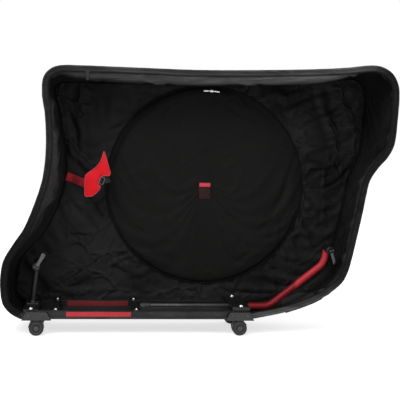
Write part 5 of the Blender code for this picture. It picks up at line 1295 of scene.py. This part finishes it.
# Base frame: rails with their grooves and inserts, crossbars, bolts, sleeve and floor board
frameSet = {
    "railY": 0.108, "railWidth": 0.023, "railLow": 0.0603, "railHigh": 0.0813,
    "railRear": -0.581435, "railFront": 0.16908, "plug": 0.0025,
    "plugBand": (0.0228, 0.0208, 0.08), "grooveHeight": 0.017, "grooveDepth": 0.0026,
    "grooveLip": 0.0003, "cornerRadius": 0.0012, "floorGrid": (60, 181), "ribPitch": 0.012,
    "ribHeight": 0.0006, "boltFoot": 0.0745, "shankRadius": 0.0024,
    # a washer's outside: share of the bolt's radius, and height
    "washerBore": 0.0029, "washer": ((1.22, 0.0), (1.25, 0.0003), (1.22, 0.0008)),
    # a rail's end plug: out from the rail's end, then size share
    "plugSteps": ((0.0, 1.0), (0.0012, 0.99), (0.0021, 0.93), (0.0024, 0.80)),
    # crossbar: radius and height of its bolts' heads
    "bolts": {"rear": (0.0078, 0.0052), "mid": (0.0048, 0.0033), "centre": (0.0048, 0.0033),
              "front": (0.0078, 0.0052)},
}


def railProfile():
    # the section's upper half, in (toward +Y, up) from the rail's centre, mirrored for the lower
    w, h = frameSet["railWidth"] / 2, (frameSet["railHigh"] - frameSet["railLow"]) / 2
    g, d, r, lip = (frameSet["grooveHeight"] / 2, frameSet["grooveDepth"],
                    frameSet["cornerRadius"], frameSet["grooveLip"])
    turn = np.radians(np.linspace(0, 90, 5))
    right = np.stack([w - r + r * np.cos(turn), h - r + r * np.sin(turn)], axis=1)
    left = (right * (-1, 1))[::-1]
    step = [(0.25 * w, h), (0.22 * w, h - 0.0005), (-0.22 * w, h - 0.0005), (-0.25 * w, h)]
    groove = [(-w, g + lip), (-w + lip, g), (-w + d, g), (-w + d, 0.0)]
    upper = np.vstack([right, step, left, groove])
    return np.vstack([upper, (upper * (1, -1))[::-1][1:]]) * (-1, 1)


def buildRails():
    # the section carried straight along X, and a plug that steps inwards over either end
    middle = (frameSet["railLow"] + frameSet["railHigh"]) / 2
    start, end = frameSet["railRear"] + frameSet["plug"], frameSet["railFront"] - frameSet["plug"]
    # the far insert takes the darkened red: painted shade
    for name, side, look in (("near", -1, "redAnodised"), ("far", 1, "dimRed")):
        y = side * frameSet["railY"]
        path = np.linspace((start, y, middle), (end, y, middle), 40)
        makePiece(f"rail_{name}_extrusion", [sweep(path, railProfile(), upWay)], "blackAnodised",
                  "rail_" + name, sharp=30.0)
        plugs = []
        for x, way in ((start, -1), (end, 1)):
            reach, size = np.array(frameSet["plugSteps"]).T
            plugs.append(unmapped(ribbon(
                np.array([x, y, middle]) + np.outer(reach * way, frontWay),
                frameSet["plugBand"], upWay, size=size)))
        makePiece(f"rail_{name}_plugs", plugs, "blackPlastic")
        softened("rail_insert_" + name, look, 0.0005)


def buildCrossbars():  # the solids themselves, with their edges rounded
    for bar in frameSet["bolts"]:
        softened("crossbar_" + bar, "blackAnodised", 0.0009)
    softened("sleeve_cap", "blackAnodised", 0.0006, angle=40)
    softened("sleeve_cradle", "blackPlastic", 0.0010, angle=40)


def buildFloor():
    # ribs are a raised cosine across the board, and the height drops at its two long edges
    low, high = boxOf("floor_board")
    (rows, cols), rise = frameSet["floorGrid"], frameSet["ribHeight"]
    across = np.linspace(low[1], high[1], cols)
    edge = smoothStep(np.minimum(across - low[1], high[1] - across) / 0.003)
    rib = smoothStep((np.cos(across * math.tau / frameSet["ribPitch"]) + 0.2) / 0.8)
    rib = high[2] - rise + rise * rib * edge - 0.001 * (1 - edge)
    upper = np.stack([*np.meshgrid(np.linspace(low[0], high[0], rows), across, indexing="ij"),
                      np.broadcast_to(rib, (rows, cols))], axis=-1).reshape(-1, 3)
    lower = upper * (1, 1, 0) + (0, 0, low[2])
    quads, count, last = gridQuads(rows, cols), rows * cols, (rows - 1) * cols
    faces = [quads, quads[:, ::-1] + count]
    for first, step, length in ((0, 1, cols - 1), (last, 1, cols - 1), (0, cols, rows - 1),
                                (cols - 1, cols, rows - 1)):
        edge = first + step * np.arange(length)
        faces.append(np.stack([edge, edge + step, edge + step + count, edge + count], axis=1))
    makePiece("ribbedFloor", [(np.vstack([upper, lower]), np.vstack(faces), None)],
              "blackPlastic", "floor_board")


def hexBolt(radius, head, place, axis=upWay, steps=36, hint=frontWay):
    # a domed head with a socket, whose rows follow a hexagon's radius by angle
    socket = radius * 0.42
    inside = np.array([0, 0, 0, 0, 0, 0, 0, 0.6, 1, 1, 0])[:, None]
    profile = [(0.0, 0.0), (radius * 0.96, 0.0), (radius, 0.0005), (radius, head * 0.45),
               (radius * 0.94, head * 0.70), (radius * 0.80, head * 0.90), (radius * 0.62, head),
               (socket * 1.12, head), (socket, head - 0.0004), (socket, head * 0.42),
               (0.0, head * 0.36)]

    def wave(rows, turn):  # a hexagon's radius is cos 30 / cos of the angle from its side's middle
        hexagon = math.cos(math.pi / 6) / np.cos(turn % (math.pi / 3) - math.pi / 6)
        return rows * (1 - inside + inside * hexagon[None])

    return lathe(profile, place, axis, steps, hint, wave=wave)


def rod(radius, start, end, place, axis, steps=24, hint=upWay):  # a closed cylinder
    return lathe([(0, start), (radius, start), (radius, end), (0, end)], place, axis, steps, hint)


def buildBolts():  # head, washer and shank turned about one upright axis
    for bar, (radius, head) in frameSet["bolts"].items():
        low, high = boxOf("crossbar_" + bar)
        x, top, foot = (low[0] + high[0]) / 2, high[2], frameSet["boltFoot"]
        washer = [(frameSet["washerBore"], 0.0),
                  *((radius * share, rise) for share, rise in frameSet["washer"]),
                  (frameSet["washerBore"], frameSet["washer"][-1][1])]
        for end, side in (("near", -1), ("far", 1)):
            node, y = f"bolt_{bar}_{end}", side * frameSet["railY"]
            makePiece(node + "_finished", [
                hexBolt(radius, head, (x, y, top + 0.0011), steps=48),
                lathe(washer, (x, y, top + 0.0002), upWay, 40, frontWay, True),
                rod(frameSet["shankRadius"], 0, top + 0.0012 - foot, (x, y, foot), upWay, 20,
                    frontWay)],
                "brightSteel", node, sharp=35.0)


def buildSleeve():  # three grooves near its front end
    low, high = boxOf("sleeve_tube")
    length, outer = high[0] - low[0], (high[2] - low[2]) / 2
    inner, skin = outer - 0.0014, outer - 0.0002
    profile = [(inner, 0.0), (outer - 0.0006, 0.0), (skin, 0.0008)]
    for groove in (length - 0.016, length - 0.012, length - 0.008):
        profile += [(skin, groove), (outer - 0.0007, groove + 0.0004),
                    (outer - 0.0007, groove + 0.0012), (skin, groove + 0.0016)]
    profile += [(skin, length - 0.001), (outer - 0.0006, length), (inner, length)]
    makePiece("sleeveTube", [lathe(profile, (low[0], 0.0, armSet["axisZ"]), frontWay, 56,
                                   closed=True)],
              "blackAnodised", "sleeve_tube", sharp=30.0)


# The fork arm, the rear post and their quick releases
armSet = {
    "radius": 0.0125, "start": -0.00802, "straight": 0.26398, "axisZ": 0.0795,
    "hub": (0.469965, 0.284), "kneeBack": 0.012, "kneeDrop": 0.052, "bend": 0.060,
    "rings": (0.018, 0.026, 0.034), "beadRadius": 0.0017, "beadDip": 0.0035,
    "beadRipple": 0.14, "hubRadius": 0.0135, "bore": 0.0032, "forkWidth": 0.100,
    "rearHub": (-0.543035, 0.222), "rearWidth": 0.130, "postFoot": (-0.557035, 0.0869),
    "postRadius": 0.0099, "flange": 0.044, "flangeBolts": 0.0165, "gap": 0.0075,
    "leverOut": 0.008, "cheek": (0.0035, 0.0070), "leverNeck": (0.0138, 0.0080, 0.3),
    # sections as radius and height: skewer head, cross pin, weld collar of the post
    "skewerHead": ((0.0, 0.0), (0.0074, 0.0), (0.0085, 0.0010), (0.0085, 0.0085),
                   (0.0078, 0.0100), (0.0056, 0.0110), (0.0, 0.0106)),
    "crossPin": ((0.0, -0.0072), (0.0019, -0.0072), (0.0022, -0.0068), (0.0022, 0.0068),
                 (0.0019, 0.0072), (0.0, 0.0072)),
    "collar": ((0.0095, 0.0), (0.0150, 0.0), (0.0136, 0.0014), (0.0112, 0.0036),
               (0.0102, 0.0070), (0.0095, 0.0070)),
    # one end of a hub's barrel: drop from its radius, in from its end
    "hubEnd": ((0.0030, 0), (0.0024, 0.0005), (0.0010, 0.0006), (0, 0.0016), (0, 0.010),
               (0.0008, 0.0108)),
    # blade rows: distance along, half thickness toward the hub, bow, half width
    "blade": ((0.0090, 0.0042, 0.0000, 0.0068), (0.0140, 0.0034, -0.0004, 0.0066),
              (0.0220, 0.0026, -0.0014, 0.0062), (0.0320, 0.0023, -0.0024, 0.0064),
              (0.0420, 0.0023, -0.0022, 0.0069), (0.0490, 0.0021, -0.0010, 0.0066),
              (0.0525, 0.0016, 0.0002, 0.0052), (0.0540, 0.0009, 0.0008, 0.0032)),
}


def roundedPath(corners, radius, step):  # up to its last bend, each bend a parabola
    corners = [np.array(corner, float) for corner in corners]
    points = [corners[0]]
    for before, corner, after in zip(corners, corners[1:], corners[2:]):
        into, away = unitRows(corner - before), unitRows(after - corner)
        turn = math.acos(float(np.clip(into @ away, -1, 1)))
        cut = radius * math.tan(turn / 2)
        share = np.linspace(0, 1, max(6, round(radius * turn / step)))[:, None]
        points.extend(bendThrough(corner - into * cut, corner, corner + away * cut, share))
    return np.array(points)


def hubShape(centre, width):  # a barrel with a shoulder near each end
    end = [(armSet["bore"], -width / 2)]
    end += [(armSet["hubRadius"] - drop, -width / 2 + inset) for drop, inset in armSet["hubEnd"]]
    return lathe(end + [(radius, -height) for radius, height in end[::-1]], centre, farWay,
                 closed=True)


def buildFork():
    # a circle carried forward along X and up in a parabola to the hub
    (x, z), width, radius = armSet["hub"], armSet["forkWidth"], armSet["radius"]
    knee = (x - armSet["kneeBack"], z - armSet["kneeDrop"])
    flat = roundedPath([(armSet["start"], armSet["axisZ"]), (armSet["straight"], armSet["axisZ"]),
                        knee, (x, z)], armSet["bend"], 0.004)
    flat = np.vstack([np.linspace(flat[0], flat[1], 30, endpoint=False), flat[1:],
                      np.linspace(flat[-1], (x, z), 6)[1:]])
    arm = tube(inSpace(flat, 0.0), radius - 0.0001, 36, farWay)
    # a weld bead where the arm meets the hub's barrel
    normal = inSpace(unitRows(flat[-1] - flat[-3]), 0.0)
    seat = np.array([x, 0.0, z]) - normal * (armSet["hubRadius"] - 0.0020)
    turn = circle(120)
    ring = (seat + (radius + 0.0003) * (np.cos(turn)[:, None] * farWay
                                        + np.sin(turn)[:, None] * np.cross(normal, farWay))
            + normal * (armSet["beadDip"] * np.cos(turn) ** 2 - 0.0006)[:, None])
    bead = tube(ring, armSet["beadRadius"], 8, -normal, closed=True,
                size=1 + armSet["beadRipple"] * np.sin(turn * 30))
    makePiece("forkArm", [arm, bead], "redPaint", "fork_arm", "fork_arm", sharp=35.0)
    makePiece("forkHub", [hubShape((x, 0.0, z), width)], "blackAnodised",
              body="fork_arm", sharp=35.0)
    # three rings on the arm, just outside its sleeve
    profile = [(radius - 0.0003, 0.0), (radius + 0.00015, 0.0002), (radius + 0.00015, 0.0009),
               (radius - 0.0003, 0.0011)]
    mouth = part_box("sleeve_tube")[1][0]
    makePiece("armRings", [lathe(profile, (mouth + place, 0.0, armSet["axisZ"]), frontWay, 40,
                                 closed=True) for place in armSet["rings"]],
              "blackAnodised", body="fork_arm")
    buildRelease("fork", (x, z), width, (0.30, -0.95), "fork_arm")


def buildRelease(name, hub, width, leverWay, body):
    # skewer: rod, cross pin and a ribbed far head; lever: cam head with a curved blade
    x, z = hub
    pivot = np.array([x, -width / 2 - armSet["leverOut"] - armSet["gap"], z])
    farY = width / 2 + armSet["gap"]
    way = inSpace(unitRows(np.array(leverWay)), 0.0)
    pinAxis = np.cross(way, farWay)
    ribs = np.array([0, 0.3, 1, 1, 0.3, 0, 0])[:, None]
    head = lathe(armSet["skewerHead"], (x, farY, z), farWay, 96, wave=lambda rows, turn: rows * (
        1 - 0.055 * ribs * (0.5 + 0.5 * np.cos(turn * 12))[None]))
    pin = lathe(armSet["crossPin"], pivot, pinAxis, 20, farWay)
    makePiece(name + "Skewer", [rod(0.0025, 0, farY - pivot[1], pivot, farWay), head, pin],
              "darkSteel", name + "_skewer", body, sharp=35.0)
    # the blade's rows are flattened circles: place along, then width and thickness by turn
    along, thick, bow, wide = curveThrough(armSet["blade"], 5).T[:, :, None]
    a, b = squareCircle(24, 0.55)
    rows = (pivot + along[..., None] * way + (wide * a)[..., None] * pinAxis
            + (bow + thick * b)[..., None] * farWay)
    shapes = [(rows.reshape(-1, 3), cappedQuads(len(along), 24), None),
              unmapped(ribbon(np.linspace(pivot + way * 0.0062, pivot + way * 0.0120, 6),
                              armSet["leverNeck"], farWay))]
    inner, outer = armSet["cheek"]
    eye = [(0.0024, inner), (0.0074, inner), (0.0079, inner + 0.0005), (0.0079, outer - 0.0006),
           (0.0073, outer), (0.0030, outer), (0.0024, outer - 0.0004)]
    shapes += [lathe([(radius, side * height) for radius, height in eye], pivot, pinAxis, 40,
                     farWay, True) for side in (-1, 1)]
    makePiece(name + "Lever", shapes, "darkSteel", name + "_lever",
              name + "_lever")


def buildPost():
    # a leaning round stem from a square flange to the hub, with a turned collar at its foot
    (x, z), (footX, footZ) = armSet["rearHub"], armSet["postFoot"]
    base, top = np.array([footX, 0.0, footZ]), np.array([x, 0.0, z])
    foot = base + (0, 0, 0.002)
    stem = tube(np.linspace(foot, top, 24), armSet["postRadius"], 32, farWay)
    flange = ribbon(base + np.outer([0, 0.0034, 0.0040], upWay),
                    (armSet["flange"], armSet["flange"], 0.12), farWay, size=(1, 1, 0.985))
    collar = lathe(armSet["collar"], base + (0.0004, 0, 0.0039), unitRows(top - foot), 40, farWay,
                   True)
    makePiece("rearPost", [stem, hubShape(top, armSet["rearWidth"]), flange, collar],
              "blackAnodised", "rear_post", sharp=35.0)
    out = armSet["flangeBolts"]
    makePiece("flangeScrews", [hexBolt(0.0034, 0.0020, base + (sx * out, sy * out, 0.0038))
                               for sx in (-1, 1) for sy in (-1, 1)],
              "darkSteel", sharp=35.0)
    buildRelease("rear", (x, z), armSet["rearWidth"], (0.5, 0.87), "bag")


buildRails()
buildCrossbars()
buildFloor()
buildBolts()
buildSleeve()
print("base frame made")
buildFork()
buildPost()
print("fork arm and rear post made")


# Castors: shoe, hood and twin wheels, four times
castorSet = {
    "places": (("rear_near", -0.538035, -1), ("rear_far", -0.538035, 1),
               ("front_near", 0.14498, -1), ("front_far", 0.14498, 1)),
    "offset": 0.108, "radius": 0.0245, "inner": 0.0056, "outer": 0.0226, "screwSpan": 0.026,
    "screwZ": 0.0680,
    # half of the tread: drop from the radius, in from the edge
    "tread": ((0.0022, 0), (0.0007, 0.0010), (0.0001, 0.0030), (0, 0.0060), (0.0008, 0.0064),
              (0.0008, 0.0070), (0, 0.0074)),
    # the disc and its boss: radius, and out from the tyre's outer edge
    "disc": ((0.0187, -0.0014), (0.0178, -0.0008), (0.0160, -0.0006), (0.0150, -0.0012),
             (0.0142, -0.0062), (0.0102, -0.0066), (0.0092, -0.0020), (0.0086, -0.0012),
             (0.0, -0.0010)),
    "boss": ((0.0, -0.0012), (0.0078, -0.0012), (0.0078, -0.0002), (0.0070, 0.0006),
             (0.0050, 0.0007), (0.0044, -0.0006), (0.0028, -0.0007), (0.0022, 0.0002),
             (0.0, 0.0004)),
}


def buildCastors():
    # tyre, disc and boss are sections turned about the axle, mirrored for the twin wheel
    r, inner, outer = (castorSet[key] for key in ("radius", "inner", "outer"))
    tread = castorSet["tread"]
    tyre = ([(0.0188, inner + 0.0003)] + [(r - drop, inner + edge) for drop, edge in tread]
            + [(r - drop, outer - edge) for drop, edge in tread[::-1]]
            + [(0.0200, outer - 0.0002), (0.0188, outer - 0.0010)])
    disc, boss = ([(radius, outer + out) for radius, out in castorSet[key]]
                  for key in ("disc", "boss"))
    disc = [(0.0, inner), (0.0187, inner + 0.0006)] + disc
    for name, x, side in castorSet["places"]:
        axle = (x, side * castorSet["offset"], r)

        def bothWays(profile, steps, closed=False):  # one wheel on either side of the hood
            return [lathe([(radius, way * height) for radius, height in profile], axle, farWay,
                          steps, closed=closed) for way in (-1, 1)]

        wheels = "wheels_" + name
        makePiece("tyres_" + name, bothWays(tyre, 72, True), "tyreGrey",
                  "castor_wheels_" + name, wheels, sharp=35.0)
        makePiece("wheelDiscs_" + name,
                  bothWays(disc, 72) + [rod(0.0029, -0.0060, 0.0060, axle, farWay)],
                  "castorGrey", body=wheels, sharp=35.0)
        makePiece("wheelBosses_" + name, bothWays(boss, 48), "buckleGrey",
                  body=wheels, sharp=35.0)
        softened("castor_hood_" + name, "greyPlastic", 0.0011,
                 "castor_" + name, 35)
        softened("castor_shoe_" + name, "greyPlastic", 0.0009)
        # two screws in the shoe's outer wall
        low, high = boxOf("castor_shoe_" + name)
        face, middle = (low, high)[side > 0][1] - side * 0.0002, (low[0] + high[0]) / 2
        makePiece("shoeScrews_" + name, [
            hexBolt(0.0036, 0.0018, (middle + along, face, castorSet["screwZ"]), (0, side, 0),
                    hint=upWay)
            for along in (-castorSet["screwSpan"], castorSet["screwSpan"])],
            "darkSteel", sharp=35.0)


buildCastors()
softened("nose_skid", "greyPlastic", 0.0008, angle=40)
print("castors and skid made")

# Small fittings that keep their CAD shape, and every covered node's own finish
nodeFinish = {"zip_slider": "blackAnodised", "zip_pull": "blackAnodised"}
slotFinish = {"shell_fabric": "outerCloth", "pocket_fabric": "pocketCloth",
              "red_webbing": "redWebbing", "black_webbing": "blackWebbing",
              "red_pad": "redPadCloth", "black_plastic": "blackPlastic",
              "grey_plastic": "greyPlastic", "black_anodised": "blackAnodised",
              "red_anodised": "redAnodised", "red_paint": "redPaint",
              "bright_steel": "brightSteel", "wheel_rubber": "tyreGrey"}
for part in frame["record"]["subparts"]:
    materials = frame["nodes"][part["node"]].data.materials
    materials.clear()
    materials.append(finishes[nodeFinish.get(part["node"], slotFinish[part["material_slot"]])])
print("fittings finished")


# Studio: a pale floor, one broad lamp above the camera and a softer one from the right
studio = {"floorSize": 12.0, "floorColour": (0.80, 0.80, 0.80), "floorGlow": 0.66,
          "worldLight": 0.45, "aim": (0.0, 0.0, 0.45),
          "lamps": {"keyLamp": ((-1.6, -3.0, 3.2), 120.0, 2.2),
                    "fillLamp": ((2.6, -2.4, 1.6), 30.0, 1.8)}}


def seenMask(tree, least):  # 1 where the camera, a reflection or clear plastic looks, else least
    path = addNode(tree, "LightPath").outputs
    seen = addMath(tree, "ADD", addMath(tree, "ADD", path["Is Camera Ray"],
                                        path["Is Glossy Ray"]), path["Is Transmission Ray"])
    return seen if least is None else addMath(
        tree, "ADD", addMath(tree, "MULTIPLY", seen, 1.0 - least), least)


def buildStudio():  # the floor's glow shows only to the camera and in reflections
    size, white = studio["floorSize"], (1.0, 1.0, 1.0)
    mesh = bpy.data.meshes.new("studioFloor")
    mesh.from_pydata([(-size, -size, 0.0), (size, -size, 0.0), (size, size, 0.0),
                      (-size, size, 0.0)], [], [(0, 1, 2, 3)])
    floor = bpy.data.objects.new("studioFloor", mesh)
    scene.collection.objects.link(floor)
    material = bpy.data.materials.new("paleFloor")
    material.use_nodes = True
    tree = material.node_tree
    shader = tree.nodes["Principled BSDF"].inputs
    feed(tree, shader["Base Color"], studio["floorColour"])
    feed(tree, shader["Roughness"], 0.9)
    feed(tree, shader["Emission Color"], white)
    feed(tree, shader["Emission Strength"],
         addMath(tree, "MULTIPLY", seenMask(tree, None), studio["floorGlow"]))
    mesh.materials.append(material)

    scene.world = bpy.data.worlds.new("studioWorld")
    scene.world.use_nodes = True
    tree = scene.world.node_tree
    background = tree.nodes["Background"].inputs
    feed(tree, background["Color"], white)
    feed(tree, background["Strength"], seenMask(tree, studio["worldLight"]))

    for name, (place, watts, width) in studio["lamps"].items():
        data = bpy.data.lights.new(name, "AREA")
        data.energy, data.size = watts, width
        lamp = bpy.data.objects.new(name, data)
        lamp.location = place
        away = np.array(studio["aim"]) - place
        lamp.rotation_euler = (math.pi / 2 + math.atan2(away[2], math.hypot(away[0], away[1])),
                               0.0, math.atan2(away[1], away[0]) - math.pi / 2)
        scene.collection.objects.link(lamp)
    scene.view_settings.view_transform = "Standard"


buildStudio()
print("studio made")
